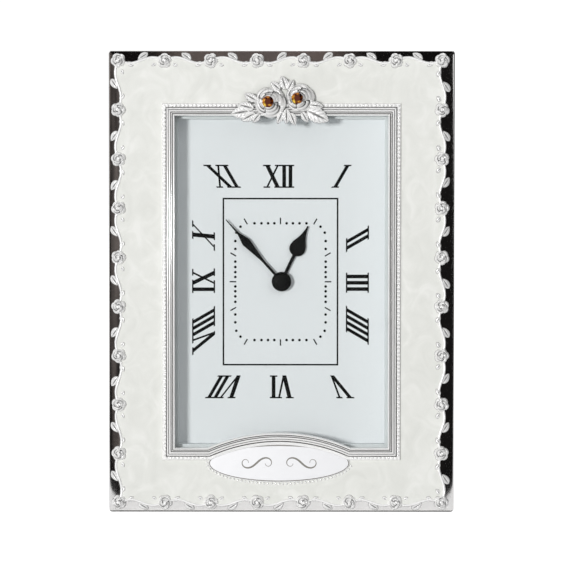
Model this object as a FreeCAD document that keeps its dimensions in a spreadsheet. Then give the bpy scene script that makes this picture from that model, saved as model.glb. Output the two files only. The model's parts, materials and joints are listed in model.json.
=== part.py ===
import FreeCAD, Part
import math
import os
import re
import Sketcher
from FreeCAD import Placement, Rotation, Vector

# The clock is modelled lying on its own plane: x to the right, y up the face
# from the bottom edge, z out of the face, with z = 0 at the casting's back rim.
# One common placement then stands it up, leaning back on its strut.
# Sizes are in millimetres and degrees.
SIZES = {
    # Casting
    "frame_width": 152.0,
    "frame_height": 203.0,
    "corner_radius": 1.4,
    "rim_height": 9.4,
    "bevel_width": 4.6,
    "bevel_rise": 3.4,
    "crest_width": 0.5,
    "wall_thickness": 2.4,
    "panel_thickness": 2.0,
    "window_width": 93.5,
    "window_height": 145.5,
    "arch_span": 62.4,
    "arch_rise": 6.6,
    "arch_shift": -1.0,
    "moulding_width": 5.5,
    "lip_depth": 5.0,
    "rabbet_wall": 2.6,
    "lug_depth": 9.0,
    "lug_length": 20.0,
    "lug_spread": 113.0,
    # Enamel and ornament
    "enamel_thickness": 1.0,
    "enamel_below_crest": 0.6,
    "plaque_width": 62.1,
    "plaque_height": 16.6,
    "plaque_thickness": 1.5,
    "plaque_centre_height": 21.9,
    "plaque_bead_width": 1.5,
    "garland_inset": 4.6,
    "garland_rose_radius": 3.05,
    "garland_rose_height": 1.7,
    "vine_width": 0.9,
    "vine_height": 0.8,
    "vine_swing": 1.75,
    "leaf_length": 4.6,
    "leaf_width": 2.2,
    "leaf_height": 0.7,
    "cluster_width": 42.6,
    "cluster_height": 21.0,
    "cluster_drop": 22.4,
    "cluster_rise": 6.4,
    "cluster_leaf_rise": 4.6,
    "left_rose_radius": 6.8,
    "right_rose_radius": 6.15,
    "crystal_radius": 2.35,
    "crystal_height": 1.9,
    "crystal_seat_depth": 0.9,
    "crystal_foot_share": 0.9,
    "crystal_girdle_share": 0.45,
    "crystal_table_share": 0.58,
    # Stack behind the lip
    "glass_width": 101.6,
    "glass_height": 152.4,
    "glass_thickness": 2.0,
    "glass_clearance": 0.4,
    "spacer_depth": 5.2,
    "spacer_ledge": 1.2,
    "dial_thickness": 0.6,
    "board_thickness": 2.6,
    "board_inset": 0.2,
    "board_clearance": 0.3,
    # Hands
    "minute_hand_length": 36.8,
    "minute_hand_shaft_width": 1.25,
    "minute_hand_shaft_length": 12.9,
    "minute_hand_lozenge_width": 3.9,
    "minute_hand_lozenge_radius": 23.1,
    "lozenge_rise_share": 0.36,
    "lozenge_fall_share": 0.3,
    "minute_hand_neck_radius": 29.6,
    "minute_hand_neck_width": 0.9,
    "minute_hand_tip_width": 0.5,
    "minute_hand_hub_radius": 3.3,
    "minute_hand_turn": 41.94,
    "hour_hand_length": 27.05,
    "hour_hand_shaft_width": 1.45,
    "hour_hand_bulb_centre": 16.2,
    "hour_hand_bulb_radius": 3.54,
    "bulb_foot_share": 0.97,
    "bulb_shoulder_share": 1.3,
    "bulb_neck_share": 0.3,
    "hour_hand_tip_width": 0.6,
    "hour_hand_hub_radius": 4.0,
    "hour_hand_turn": -25.6,
    "hand_thickness": 0.35,
    "hand_gap": 0.55,
    "cap_radius": 4.325,
    "cap_height": 1.85,
    "cap_rounding": 1.2,
    # Movement case
    "case_width": 56.0,
    "case_depth": 16.0,
    "case_front_depth": 7.2,
    "case_wall": 1.2,
    "case_clearance": 0.5,
    "pad_thickness": 0.6,
    "pad_width": 50.0,
    "pad_hole_radius": 6.0,
    "bush_radius": 3.9,
    "bush_length": 2.0,
    "dial_hole_clearance": 0.2,
    "running_clearance": 0.05,
    "arbor_radius": 0.5,
    "pivot_depth": 0.9,
    # Gear train
    "gear_module": 0.3,
    "rotor_module": 0.22,
    "wheel_thickness": 0.7,
    "pinion_length": 0.9,
    "pinion_lap": 0.1375,
    "centre_arbor_radius": 1.7,
    "centre_pivot_radius": 0.75,
    "pipe_wall": 0.7,
    "hour_wheel_level": 0.1,
    "minute_wheel_level": -0.95,
    "centre_wheel_level": -2.35,
    "third_wheel_level": -3.65,
    "second_wheel_level": -5.0,
    "step_wheel_level": -6.4,
    "third_turn": 60.0,
    "second_turn": 170.0,
    "step_turn": 200.0,
    "rotor_turn": 100.0,
    "minute_wheel_turn": -8.0,
    "clutch_washer_radius": 2.0,
    "clutch_washer_thickness": 0.4,
    "magnet_radius": 2.6,
    "magnet_length": 2.2,
    "magnet_gap": 0.3,
    "knob_radius": 3.6,
    "knob_height": 1.9,
    "knob_gap": 0.3,
    # Motor and circuit
    "stator_thickness": 1.0,
    "stator_bar": 3.0,
    "stator_hole_clearance": 0.7,
    "stator_margin": 1.4,
    "stator_leg": 4.0,
    "stator_right": 16.5,
    "coil_axis_height": 21.4,
    "coil_radius": 3.0,
    "coil_length": 15.0,
    "bobbin_radius": 3.4,
    "bobbin_flange": 1.0,
    "bobbin_wall": 0.5,
    "core_clearance": 0.05,
    "post_radius": 1.1,
    "circuit_width": 8.6,
    "circuit_height": 30.0,
    "circuit_thickness": 0.8,
    "circuit_level": -9.6,
    "circuit_edge": 17.6,
    "circuit_bottom": -7.0,
    "chip_radius": 2.9,
    "chip_height": 1.1,
    "crystal_can_radius": 1.0,
    "crystal_can_length": 6.0,
    "can_rounding_share": 0.8,
    # Battery
    "battery_radius": 7.1,
    "battery_length": 49.2,
    "battery_nub_radius": 2.6,
    "battery_nub_length": 1.0,
    "battery_wall_gap": 0.2,
    "bay_clearance": 0.3,
    "contact_thickness": 0.4,
    "contact_width": 7.0,
    "contact_reach": 5.0,
    # Turn buttons
    "button_length": 17.0,
    "button_width": 5.5,
    "button_thickness": 0.8,
    "button_gap": 0.1,
    "button_pivot_share": 0.235,
    "button_screw_radius": 1.2,
    "button_head_radius": 2.4,
    "button_head_height": 1.1,
    "button_screw_length": 5.0,
    # Strut and its hinge
    "lean_angle": 12.0,
    "strut_angle": 22.0,
    "hinge_height": 64.0,
    "hinge_width": 24.0,
    "strut_leaf_length": 12.0,
    "hinge_leaf_thickness": 0.8,
    "hinge_pin_radius": 1.0,
    "hinge_knuckle_radius": 1.8,
    "hinge_knuckle_share": 0.36,
    "hinge_gap": 0.2,
    "strut_thickness": 3.0,
    "strut_top_width": 30.0,
    "strut_foot_width": 48.0,
    "strut_spare_length": 9.0,
    # One reach past a face for every cut
    "overrun": 1.0,
}

# Teeth of each wheel and pinion, and the garland's roses along each side
HOUR_TEETH = 56
MINUTE_PINION_TEETH = 14
MINUTE_TEETH = 54
CANNON_TEETH = 18
CENTRE_TEETH = 64
THIRD_TEETH = 60
SECOND_TEETH = 40
STEP_TEETH = 48
PINION_TEETH = 8
ROSES_ACROSS = 8
ROSES_UP = 10
CRYSTAL_SIDES = 12
# Turns of the garland's leaves from the vine, and of the corners of the hour hand's bulb
GARLAND_LEAF_TURNS = (35, 215)
HOUR_BULB_TURNS = (-50, -15, 20, 55)
# How near two measures of one edge lie
TINY = 1e-6

# Sizes that follow from the ones above
WORKED_OUT = {
    "half_width": "frame_width / 2",
    "middle": "frame_height / 2",
    "crest": "rim_height + bevel_rise",
    "enamel_front": "crest - enamel_below_crest",
    "floor": "enamel_front - enamel_thickness",
    "channel_top": "floor - panel_thickness",
    "enamel_inset": "bevel_width + crest_width",
    "board_front": "board_inset + board_thickness",
    "dial_front": "board_front + dial_thickness",
    "glass_back": "dial_front + spacer_depth",
    "glass_front": "glass_back + glass_thickness",
    "lip_front": "glass_front + lip_depth",
    "rabbet_width": "glass_width + 2 * glass_clearance",
    "rabbet_height": "glass_height + 2 * glass_clearance",
    "window_bottom": "middle - window_height / 2",
    "case_front": "board_front - pad_thickness",
    "case_back": "case_front - case_depth",
    "case_split": "case_front - case_front_depth",
    "cavity_front": "case_front - case_wall",
    "cavity_back": "case_back + case_wall",
    "cavity_half": "case_width / 2 - case_wall",
    "pipe_bore": "centre_arbor_radius + running_clearance",
    "pipe_radius": "pipe_bore + pipe_wall",
    "bush_front": "case_front + bush_length",
    "hour_hand_back": "bush_front + hand_gap / 2",
    "minute_hand_back": "hour_hand_back + hand_thickness + hand_gap",
    "cap_back": "minute_hand_back + hand_thickness",
    "arbor_front": "cap_back + hand_thickness",
    "battery_level": "cavity_front - battery_wall_gap - battery_radius",
    "battery_drop": "cavity_half - bay_clearance - battery_radius",
    "bay_top": "battery_drop - battery_radius - bay_clearance",
    "pivot_front": "cavity_front + pivot_depth",
    "pivot_back": "cavity_back - pivot_depth",
    "hole_radius": "arbor_radius + running_clearance",
    "magnet_level": "step_wheel_level - magnet_gap - magnet_length",
    "stator_level": "magnet_level + magnet_length / 2 - stator_thickness / 2",
    "board_leaf_length": "middle - case_width / 2 - case_clearance - hinge_gap - hinge_height",
    "pin_level": "board_inset - hinge_leaf_thickness - hinge_gap - hinge_knuckle_radius / 2",
}

# Shares of the moulding's width and height, from the lip outwards
REED_SHARES = (
    (0.00, 0.96), (0.03, 1.00), (0.10, 1.00), (0.136, 0.83), (0.17, 0.92),
    (0.22, 0.93), (0.264, 0.76), (0.33, 0.86), (0.42, 0.84), (0.49, 0.62),
    (0.56, 0.74), (0.64, 0.68), (0.70, 0.44), (0.76, 0.50), (0.88, 0.50),
    (0.95, 0.34), (1.00, 0.24),
)
# Shares of a rose's radius and height, from the rim to the heart
ROSE_SHARES = (
    (1.00, 0.34), (0.86, 0.56), (0.74, 0.50), (0.60, 0.80), (0.48, 0.72),
    (0.32, 1.00), (0.00, 0.92),
)
# Leaves of the ornament: shares of its width and height, turn and size share
CLUSTER_LEAF_SHARES = (
    (-0.345, -0.17, 196, 0.29), (-0.30, -0.04, 168, 0.22), (-0.26, -0.28, 222, 0.21),
    (0.03, 0.27, 80, 0.25), (0.00, -0.24, 262, 0.24), (0.09, -0.24, 290, 0.24),
    (0.33, -0.24, 328, 0.32), (0.30, -0.04, 352, 0.20), (-0.10, 0.30, 118, 0.16),
    (0.16, 0.30, 60, 0.16), (0.20, -0.32, 305, 0.18),
)
# A leaf of the ornament: where its stem starts, its length and width, as shares of its size
CLUSTER_STEM_SHARE = 0.6
CLUSTER_LENGTH_SHARE = 1.2
CLUSTER_BREADTH_SHARE = 0.45
LEFT_ROSE_SHARE = (-0.119, -0.019)
RIGHT_ROSE_SHARE = (0.181, 0.043)
# Shares of the tooth pitch at root, pitch circle and tip, and of the module
TOOTH_WIDTH_SHARES = (0.56, 0.40, 0.16)
TOOTH_REACH_SHARES = (-1.15, 0.0, 0.78)
# Shares of the circuit board's height where its two posts stand
CIRCUIT_POST_SHARES = (0.12, 0.88)

doc = FreeCAD.newDocument("photo_frame_clock")
sheet = doc.addObject("Spreadsheet::Sheet", "sizes")
for row, (name, number) in enumerate(SIZES.items(), start=1):
    sheet.set(f"A{row}", str(number))
    sheet.setAlias(f"A{row}", name)
doc.recompute()

# Every separate piece of the clock, in the order it is made
subparts = []


def cells(expression):
    """Write an expression in size names as an expression in the sheet's cells."""
    def cell(match):
        word = match.group(0)
        if word in WORKED_OUT:
            return "(" + cells(WORKED_OUT[word]) + ")"
        return "sizes." + word if word in SIZES else word
    return re.sub(r"[A-Za-z_]\w*", cell, str(expression))


def value(expression):
    """The number that an expression in size names stands for."""
    return float(doc.sizes.evalExpression(cells(expression)))


def point(across, up, out="0"):
    """A point from three expressions."""
    return Vector(value(across), value(up), value(out))


def new_body(name):
    """A piece of its own, built from sketches."""
    body = doc.addObject("PartDesign::Body", name)
    subparts.append(body)
    return body


def new_piece(name, shape):
    """A piece whose shape is worked out from the sheet."""
    piece = doc.addObject("Part::Feature", name)
    piece.Shape = shape
    subparts.append(piece)
    return piece


def new_sketch(body, level, turn=None, centre=None):
    """A sketch on the body's own face plane, raised to a level."""
    sketch = body.newObject("Sketcher::SketchObject", "outline")
    plane = [item for item in body.Origin.OriginFeatures if item.Role == "XY_Plane"][0]
    sketch.AttachmentSupport = (plane, [""])
    sketch.MapMode = "FlatFace"
    if turn is not None:
        sketch.AttachmentOffset = Placement(Vector(), Rotation(Vector(0, 0, 1), 1))
        sketch.setExpression("AttachmentOffset.Rotation.Angle", cells(turn))
    if centre is not None:
        sketch.setExpression("AttachmentOffset.Base.x", cells(centre[0]))
        sketch.setExpression("AttachmentOffset.Base.y", cells(centre[1]))
    sketch.setExpression("AttachmentOffset.Base.z", cells(level))
    return sketch


def pin_point(sketch, line, end, across, up):
    """Tie one end of a line to two expressions."""
    for kind, expression in (("DistanceX", across), ("DistanceY", up)):
        index = sketch.addConstraint(Sketcher.Constraint(kind, -1, 1, line, end, value(expression)))
        sketch.setExpression(f"Constraints[{index}]", cells(expression))


def draw_outline(sketch, corners):
    """A closed outline whose corners are pairs of expressions."""
    first = sketch.GeometryCount
    places = [point(across, up) for across, up in corners]
    count = len(places)
    for index in range(count):
        sketch.addGeometry(Part.LineSegment(places[index], places[(index + 1) % count]), False)
    for index in range(count):
        follower = first + (index + 1) % count
        sketch.addConstraint(Sketcher.Constraint("Coincident", first + index, 2, follower, 1))
    for index, (across, up) in enumerate(corners):
        pin_point(sketch, first + index, 1, across, up)


def draw_rectangle(sketch, across, up, width, height):
    """A rectangle about a centre."""
    left, right = f"({across}) - ({width}) / 2", f"({across}) + ({width}) / 2"
    low, high = f"({up}) - ({height}) / 2", f"({up}) + ({height}) / 2"
    draw_outline(sketch, [(left, low), (right, low), (right, high), (left, high)])


def draw_circle(sketch, across, up, radius):
    """A circle about a centre."""
    circle = Part.Circle(point(across, up), Vector(0, 0, 1), value(radius))
    index = sketch.addGeometry(circle, False)
    pin_point(sketch, index, 3, across, up)
    size = sketch.addConstraint(Sketcher.Constraint("Radius", index, value(radius)))
    sketch.setExpression(f"Constraints[{size}]", cells(radius))


def pad(body, sketch, length):
    """Raise a sketch towards the viewer."""
    feature = body.newObject("PartDesign::Pad", "raised")
    feature.Profile = sketch
    feature.setExpression("Length", cells(length))
    return feature


def pocket(body, sketch, depth):
    """Cut a sketch away from the viewer."""
    feature = body.newObject("PartDesign::Pocket", "sunk")
    feature.Profile = sketch
    feature.setExpression("Length", cells(depth))
    return feature


def add_block(body, across, up, width, height, low, high):
    """Add a rectangular block between two levels."""
    sketch = new_sketch(body, low)
    draw_rectangle(sketch, across, up, width, height)
    pad(body, sketch, f"({high}) - ({low})")


def cut_block(body, across, up, width, height, low, high):
    """Cut a rectangular hollow between two levels."""
    sketch = new_sketch(body, high)
    draw_rectangle(sketch, across, up, width, height)
    pocket(body, sketch, f"({high}) - ({low})")


def add_disc(body, across, up, radius, low, high):
    """Add a round boss between two levels."""
    sketch = new_sketch(body, low)
    draw_circle(sketch, across, up, radius)
    pad(body, sketch, f"({high}) - ({low})")


def cut_disc(body, across, up, radius, low, high):
    """Cut a round hole between two levels."""
    sketch = new_sketch(body, high)
    draw_circle(sketch, across, up, radius)
    pocket(body, sketch, f"({high}) - ({low})")


def prism(outline, low, high):
    """A solid raised from a closed wire between two levels."""
    shift = Vector(0, 0, value(low))
    height = Vector(0, 0, value(high) - value(low))
    face = Part.Face(outline)
    face.translate(shift)
    return face.extrude(height)


def rectangle_wire(across, up, width, height):
    """A rectangle about a centre, as a wire."""
    half_wide = value(width) / 2
    half_high = value(height) / 2
    centre = point(across, up)
    signs = ((-1, -1), (1, -1), (1, 1), (-1, 1), (-1, -1))
    return Part.makePolygon([centre + Vector(a * half_wide, b * half_high, 0) for a, b in signs])


def rounded_wire(inset, radius, level):
    """The frame's outline drawn in by an inset, with round corners."""
    half = value("half_width") - inset
    low = inset
    high = value("frame_height") - inset
    edges = []
    diagonal = radius - radius * math.cos(math.pi / 4)
    corners = (((1, -1), half, low), ((1, 1), half, high), ((-1, 1), -half, high), ((-1, -1), -half, low))
    ends = []
    for (side, rise), x, y in corners:
        along = Vector(x, y - rise * radius, level)
        across = Vector(x - side * radius, y, level)
        bend = Vector(x - side * diagonal, y - rise * diagonal, level)
        pair = (across, bend, along) if side * rise < 0 else (along, bend, across)
        ends.append(pair)
    for index, (start, bend, end) in enumerate(ends):
        edges.append(Part.Arc(start, bend, end).toShape())
        edges.append(Part.makeLine(end, ends[(index + 1) % len(ends)][0]))
    return Part.Wire(edges)


def window_wire():
    """The window's edge: a rectangle whose foot arches up over the plaque."""
    half = value("window_width / 2")
    low = value("window_bottom")
    high = value("middle + window_height / 2")
    shift = value("arch_shift")
    half_span = value("arch_span / 2")
    left_foot = Vector(shift - half_span, low, 0)
    right_foot = Vector(shift + half_span, low, 0)
    crown = Vector(shift, low + value("arch_rise"), 0)
    corners = [left_foot, Vector(-half, low, 0), Vector(-half, high, 0)]
    corners += [Vector(half, high, 0), Vector(half, low, 0), right_foot]
    edges = [Part.makeLine(corners[i], corners[i + 1]) for i in range(len(corners) - 1)]
    edges.append(Part.Arc(right_foot, crown, left_foot).toShape())
    return Part.Wire(edges)


def oval_wire(margin):
    """The plaque's oval, grown by a margin."""
    centre = point("arch_shift", "plaque_centre_height")
    long_radius = value("plaque_width / 2") + margin
    short_radius = value("plaque_height / 2") + margin
    return Part.Wire(Part.Ellipse(centre, long_radius, short_radius).toShape())


def moulding_shape():
    """The reeded moulding carried round the window's edge."""
    low = value("window_bottom")
    base = value("floor - panel_thickness / 2")
    width = value("moulding_width")
    height = value("lip_front") - value("floor")
    start = value("arch_shift - (window_width + arch_span) / 4")
    profile = [Vector(start, low, base)]
    for out, up in REED_SHARES:
        profile.append(Vector(start, low - out * width, value("floor") + up * height))
    profile.append(Vector(start, low - width, base))
    profile.append(profile[0])
    path = window_wire()
    return path.makePipeShell([Part.makePolygon(profile)], True, False, 1)


def make_front_frame():
    """The cast frame: bevelled rim, sunk panel, moulding, rabbet and hollow back."""
    outline = value("corner_radius")
    inner = value("corner_radius") / 2
    level = value("rim_height")
    width = value("bevel_width")
    block = Part.Face(rounded_wire(0, outline, 0)).extrude(Vector(0, 0, level))
    lower = rounded_wire(0, outline, level)
    upper = rounded_wire(width, inner, value("crest"))
    block = block.fuse(Part.makeLoft([lower, upper], True, True))
    recess = prism(rounded_wire(value("enamel_inset"), inner, 0), "floor", "crest + overrun")
    block = block.cut(recess)
    block = block.fuse(moulding_shape())
    window = prism(window_wire(), "0 - overrun", "lip_front + overrun")
    rabbet_outline = rectangle_wire("0", "middle", "rabbet_width", "rabbet_height")
    rabbet = prism(rabbet_outline, "0 - overrun", "glass_front")
    seat_outline = rectangle_wire("0", "middle", "frame_width - 2 * wall_thickness",
                                  "frame_height - 2 * wall_thickness")
    seat = prism(seat_outline, "0 - overrun", "board_front")
    channel = prism(seat_outline, "board_front - overrun", "channel_top")
    tray = rectangle_wire("0", "middle", "rabbet_width + 2 * rabbet_wall",
                          "rabbet_height + 2 * rabbet_wall")
    channel = channel.cut(prism(tray, "0 - 2 * overrun", "lip_front"))
    block = block.cut(window.fuse([rabbet, seat, channel]))
    lugs = [lug_shape(side, rise) for side in (-1, 1) for rise in (-1, 1)]
    screws = [screw_hole(side, rise) for side in (-1, 1) for rise in (-1, 1)]
    block = block.fuse(lugs).cut(screws).removeSplitter()
    return new_piece("front_frame", block)


def lug_place(side, rise):
    """The middle of one lug, against the casting's side wall."""
    across = value("half_width - wall_thickness - lug_depth / 2")
    return side * across, value("middle") + rise * value("lug_spread / 2")


def button_pivot(side, rise):
    """Where one turn button's screw stands on its lug."""
    across, up = lug_place(side, rise)
    reach = value("lug_length / 2 - button_length * button_pivot_share - button_gap")
    return across, up + rise * (reach - value("button_width / 2"))


def lug_shape(side, rise):
    """One lug for a turn button's screw."""
    across, up = lug_place(side, rise)
    outline = rectangle_wire(across + side * value("overrun / 2"), up, "lug_depth + overrun", "lug_length")
    return prism(outline, "0", "channel_top + panel_thickness / 2")


def screw_hole(side, rise):
    """The hole for one turn button's screw."""
    across, up = button_pivot(side, rise)
    depth = value("button_screw_length")
    radius = value("button_screw_radius")
    return Part.makeCylinder(radius, depth + value("overrun"), Vector(across, up, -value("overrun")))


def make_enamel_panel(frame):
    """The enamel poured into the sunk field between rim and moulding."""
    outer = prism(rounded_wire(value("enamel_inset"), value("corner_radius") / 2, 0), "floor", "enamel_front")
    inner = rectangle_wire("0", "middle", "window_width + 2 * moulding_width",
                           "window_height + 2 * moulding_width")
    oval = oval_wire(value("plaque_bead_width"))
    sheet_shape = outer.cut(prism(inner, "floor - overrun", "crest + overrun"))
    sheet_shape = sheet_shape.cut(prism(oval, "floor - overrun", "crest + overrun"))
    return new_piece("enamel_panel", sheet_shape.cut(frame.Shape))


def make_oval_plaque(frame, enamel):
    """The bare oval plaque under the arch."""
    plate = prism(oval_wire(0), "floor", "floor + plaque_thickness")
    rim = prism(oval_wire(value("plaque_bead_width / 2")), "floor", "floor + plaque_thickness / 2")
    return new_piece("oval_plaque", largest(plate.fuse(rim).cut([frame.Shape, enamel.Shape])))


def largest(shape):
    """The largest solid of a shape."""
    return max(shape.Solids, key=lambda solid: solid.Volume)


def rose_shape(across, up, radius, low, high):
    """A rose as a stepped dome of petal rings, solid down to a low level."""
    base = value(low)
    height = value(high)
    profile = [Vector(0, 0, base), Vector(radius, 0, base)]
    surface = value("enamel_front")
    profile += [Vector(r * radius, 0, surface + up_share * (height - surface)) for r, up_share in ROSE_SHARES]
    profile.append(profile[0])
    solid = Part.Face(Part.makePolygon(profile)).revolve(Vector(), Vector(0, 0, 1), 360)
    solid.translate(Vector(across, up, 0))
    return solid


def leaf_shape(across, up, turn, length, width, low, high):
    """A pointed leaf between two arcs, its stem end at a place."""
    root = Vector(0, 0, 0)
    tip = Vector(length, 0, 0)
    upper = Part.Arc(root, Vector(length / 2, width / 2, 0), tip).toShape()
    lower = Part.Arc(tip, Vector(length / 2, -width / 2, 0), root).toShape()
    solid = prism(Part.Wire([upper, lower]), low, high)
    solid.rotate(Vector(), Vector(0, 0, 1), turn)
    solid.translate(Vector(across, up, 0))
    return solid


def rose_places():
    """Centres of the garland's roses in order round the frame."""
    inset = value("garland_inset")
    half = value("half_width") - inset
    low = inset
    high = value("frame_height") - inset
    step_across = 2 * half / (ROSES_ACROSS - 1)
    step_up = (high - low) / (ROSES_UP - 1)
    places = [Vector(-half + i * step_across, low, 0) for i in range(ROSES_ACROSS - 1)]
    places += [Vector(half, low + i * step_up, 0) for i in range(ROSES_UP - 1)]
    places += [Vector(half - i * step_across, high, 0) for i in range(ROSES_ACROSS - 1)]
    places += [Vector(-half, high - i * step_up, 0) for i in range(ROSES_UP - 1)]
    return places


def vine_strip(start, end, swing):
    """One bow of the vine between two points, as a curved strip."""
    along = (end - start).normalize()
    aside = Vector(-along.y, along.x, 0)
    middle = (start + end) * 0.5 + aside * swing
    half = value("vine_width / 2")
    outer = Part.Arc(start + aside * half, middle + aside * half, end + aside * half).toShape()
    inner = Part.Arc(end - aside * half, middle - aside * half, start - aside * half).toShape()
    joins = [Part.makeLine(end + aside * half, end - aside * half)]
    joins.append(Part.makeLine(start - aside * half, start + aside * half))
    return prism(Part.Wire([outer, joins[0], inner, joins[1]]), "rim_height", "crest + vine_height")


def make_rose_garland(frame, enamel):
    """The cast garland of roses, vine and leaves on the seam of rim and enamel."""
    places = rose_places()
    solids = []
    swing = value("vine_swing")
    leaf = (value("leaf_length"), value("leaf_width"))
    radius = value("garland_rose_radius")
    for index, place in enumerate(places):
        follower = places[(index + 1) % len(places)]
        halfway = (place + follower) * 0.5
        solids.append(rose_shape(place.x, place.y, radius, "rim_height", "crest + garland_rose_height"))
        solids.append(vine_strip(place, halfway, swing))
        solids.append(vine_strip(halfway, follower, -swing))
        heading = math.degrees(math.atan2(follower.y - place.y, follower.x - place.x))
        for turn in GARLAND_LEAF_TURNS:
            solids.append(leaf_shape(halfway.x, halfway.y, heading + turn, *leaf, "rim_height",
                                     "crest + leaf_height"))
    garland = solids[0].fuse(solids[1:]).cut([frame.Shape, enamel.Shape])
    return new_piece("rose_garland", largest(garland))


def cluster_point(shares):
    """A place on the rose ornament from shares of its size."""
    across = shares[0] * value("cluster_width")
    up = value("frame_height - cluster_drop") + shares[1] * value("cluster_height")
    return across, up


def make_rose_cluster(frame, enamel):
    """The ornament of two roses and leaves over the top of the moulding."""
    top = "lip_front + cluster_rise / 2"
    left = cluster_point(LEFT_ROSE_SHARE)
    right = cluster_point(RIGHT_ROSE_SHARE)
    solids = [rose_shape(*left, value("left_rose_radius"), "floor", top)]
    solids.append(rose_shape(*right, value("right_rose_radius"), "floor", top))
    width = value("cluster_width")
    for across, up, turn, size in CLUSTER_LEAF_SHARES:
        length = size * width
        aim = math.radians(turn)
        x, y = cluster_point((across, up))
        stem = length * CLUSTER_STEM_SHARE
        root = (x - math.cos(aim) * stem, y - math.sin(aim) * stem)
        solids.append(leaf_shape(*root, turn, length * CLUSTER_LENGTH_SHARE, length * CLUSTER_BREADTH_SHARE,
                                 "floor", "floor + cluster_leaf_rise"))
    seats = [crystal_seat(place) for place in (left, right)]
    ornament = solids[0].fuse(solids[1:]).cut([frame.Shape, enamel.Shape] + seats)
    new_piece("rose_cluster", largest(ornament))
    for name, place in (("crystal_left", left), ("crystal_right", right)):
        new_piece(name, crystal_shape(place))


def crystal_level():
    """The level of a crystal's foot, sunk in its rose's heart."""
    return value("lip_front + cluster_rise / 2 - crystal_seat_depth")


def crystal_seat(place):
    """The round seat for a crystal."""
    base = Vector(place[0], place[1], crystal_level())
    return Part.makeCylinder(value("crystal_radius"), value("cluster_rise"), base)


def crystal_shape(place):
    """A faceted crystal: a girdle of flats that draws in to a flat table."""
    low = crystal_level()
    girdle = low + value("crystal_height * crystal_girdle_share")
    top = low + value("crystal_height")
    radius = value("crystal_radius")

    def ring(size, level):
        angles = [2 * math.pi * i / CRYSTAL_SIDES for i in range(CRYSTAL_SIDES + 1)]
        return Part.makePolygon([Vector(place[0] + size * math.cos(a), place[1] + size * math.sin(a), level)
                                 for a in angles])

    foot = value("crystal_radius * crystal_foot_share")
    table = value("crystal_radius * crystal_table_share")
    lower = Part.makeLoft([ring(foot, low), ring(radius, girdle)], True, True)
    upper = Part.makeLoft([ring(radius, girdle), ring(table, top)], True, True)
    return lower.fuse(upper)


def make_glass():
    """The pane behind the moulding's lip."""
    body = new_body("glass_pane")
    add_block(body, "0", "middle", "glass_width", "glass_height", "glass_back", "glass_front")


def make_spacer():
    """The pale frame that holds the dial away from the glass."""
    body = new_body("dial_spacer")
    add_block(body, "0", "middle", "glass_width", "glass_height", "dial_front", "glass_back")
    cut_block(body, "0", "middle", "window_width - 2 * spacer_ledge", "window_height - 2 * spacer_ledge",
              "dial_front - overrun", "glass_back")


def make_dial():
    """The dial plate with its hole for the movement's bush."""
    body = new_body("dial_plate")
    add_block(body, "0", "middle", "glass_width", "glass_height", "board_front", "dial_front")
    cut_disc(body, "0", "middle", "bush_radius + dial_hole_clearance", "board_front - overrun", "dial_front")


def make_back_board():
    """The covered board that closes the back, cut out round the movement and lugs."""
    body = new_body("back_board")
    add_block(body, "0", "middle", "frame_width - 2 * wall_thickness - 2 * board_clearance",
              "frame_height - 2 * wall_thickness - 2 * board_clearance", "board_inset", "board_front")
    cut_block(body, "0", "middle", "case_width + 2 * case_clearance", "case_width + 2 * case_clearance",
              "board_inset - overrun", "board_front")
    for side in ("-", ""):
        for rise in ("-", "+"):
            across = f"{side}(half_width - wall_thickness - lug_depth / 2)"
            cut_block(body, across, f"middle {rise} lug_spread / 2", "lug_depth + 2 * board_clearance",
                      "lug_length + 2 * board_clearance", "board_inset - overrun", "board_front")


def make_hand(name, corners, turn, hub, bore, back):
    """A flat hand from one side of its outline, mirrored, with hub and bore."""
    body = new_body(name)
    sketch = new_sketch(body, back, turn, ("0", "middle"))
    other_side = [(f"0 - ({across})", up) for across, up in reversed(corners)]
    draw_outline(sketch, corners + other_side)
    pad(body, sketch, "hand_thickness")
    add_disc(body, "0", "middle", hub, back, f"{back} + hand_thickness")
    cut_disc(body, "0", "middle", bore, f"{back} - overrun", f"{back} + hand_thickness")


def make_minute_hand():
    """The lance-shaped minute hand."""
    shaft = "minute_hand_shaft_width / 2"
    lozenge = "minute_hand_lozenge_radius"
    quarter = f"(minute_hand_shaft_length + {lozenge}) / 2"
    corners = [
        (shaft, "0"),
        (shaft, "minute_hand_shaft_length"),
        ("minute_hand_lozenge_width * lozenge_rise_share", quarter),
        ("minute_hand_lozenge_width / 2", lozenge),
        ("minute_hand_lozenge_width * lozenge_fall_share", f"({lozenge} + minute_hand_neck_radius) / 2"),
        ("minute_hand_neck_width / 2", "minute_hand_neck_radius"),
        ("minute_hand_tip_width / 2", "minute_hand_length"),
    ]
    make_hand("minute_hand", corners, "minute_hand_turn", "minute_hand_hub_radius",
              "centre_arbor_radius", "minute_hand_back")


def make_hour_hand():
    """The spade-shaped hour hand."""
    shaft = "hour_hand_shaft_width / 2"
    bulb = "hour_hand_bulb_radius"
    centre = "hour_hand_bulb_centre"
    corners = [(shaft, "0"), (shaft, f"{centre} - {bulb} * bulb_foot_share")]
    for turn in HOUR_BULB_TURNS:
        corners.append((f"{bulb} * cos({turn})", f"{centre} + {bulb} * sin({turn})"))
    corners.append((f"{bulb} * bulb_neck_share", f"{centre} + {bulb} * bulb_shoulder_share"))
    corners.append(("hour_hand_tip_width / 2", "hour_hand_length"))
    make_hand("hour_hand", corners, "hour_hand_turn", "hour_hand_hub_radius", "pipe_radius", "hour_hand_back")


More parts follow.
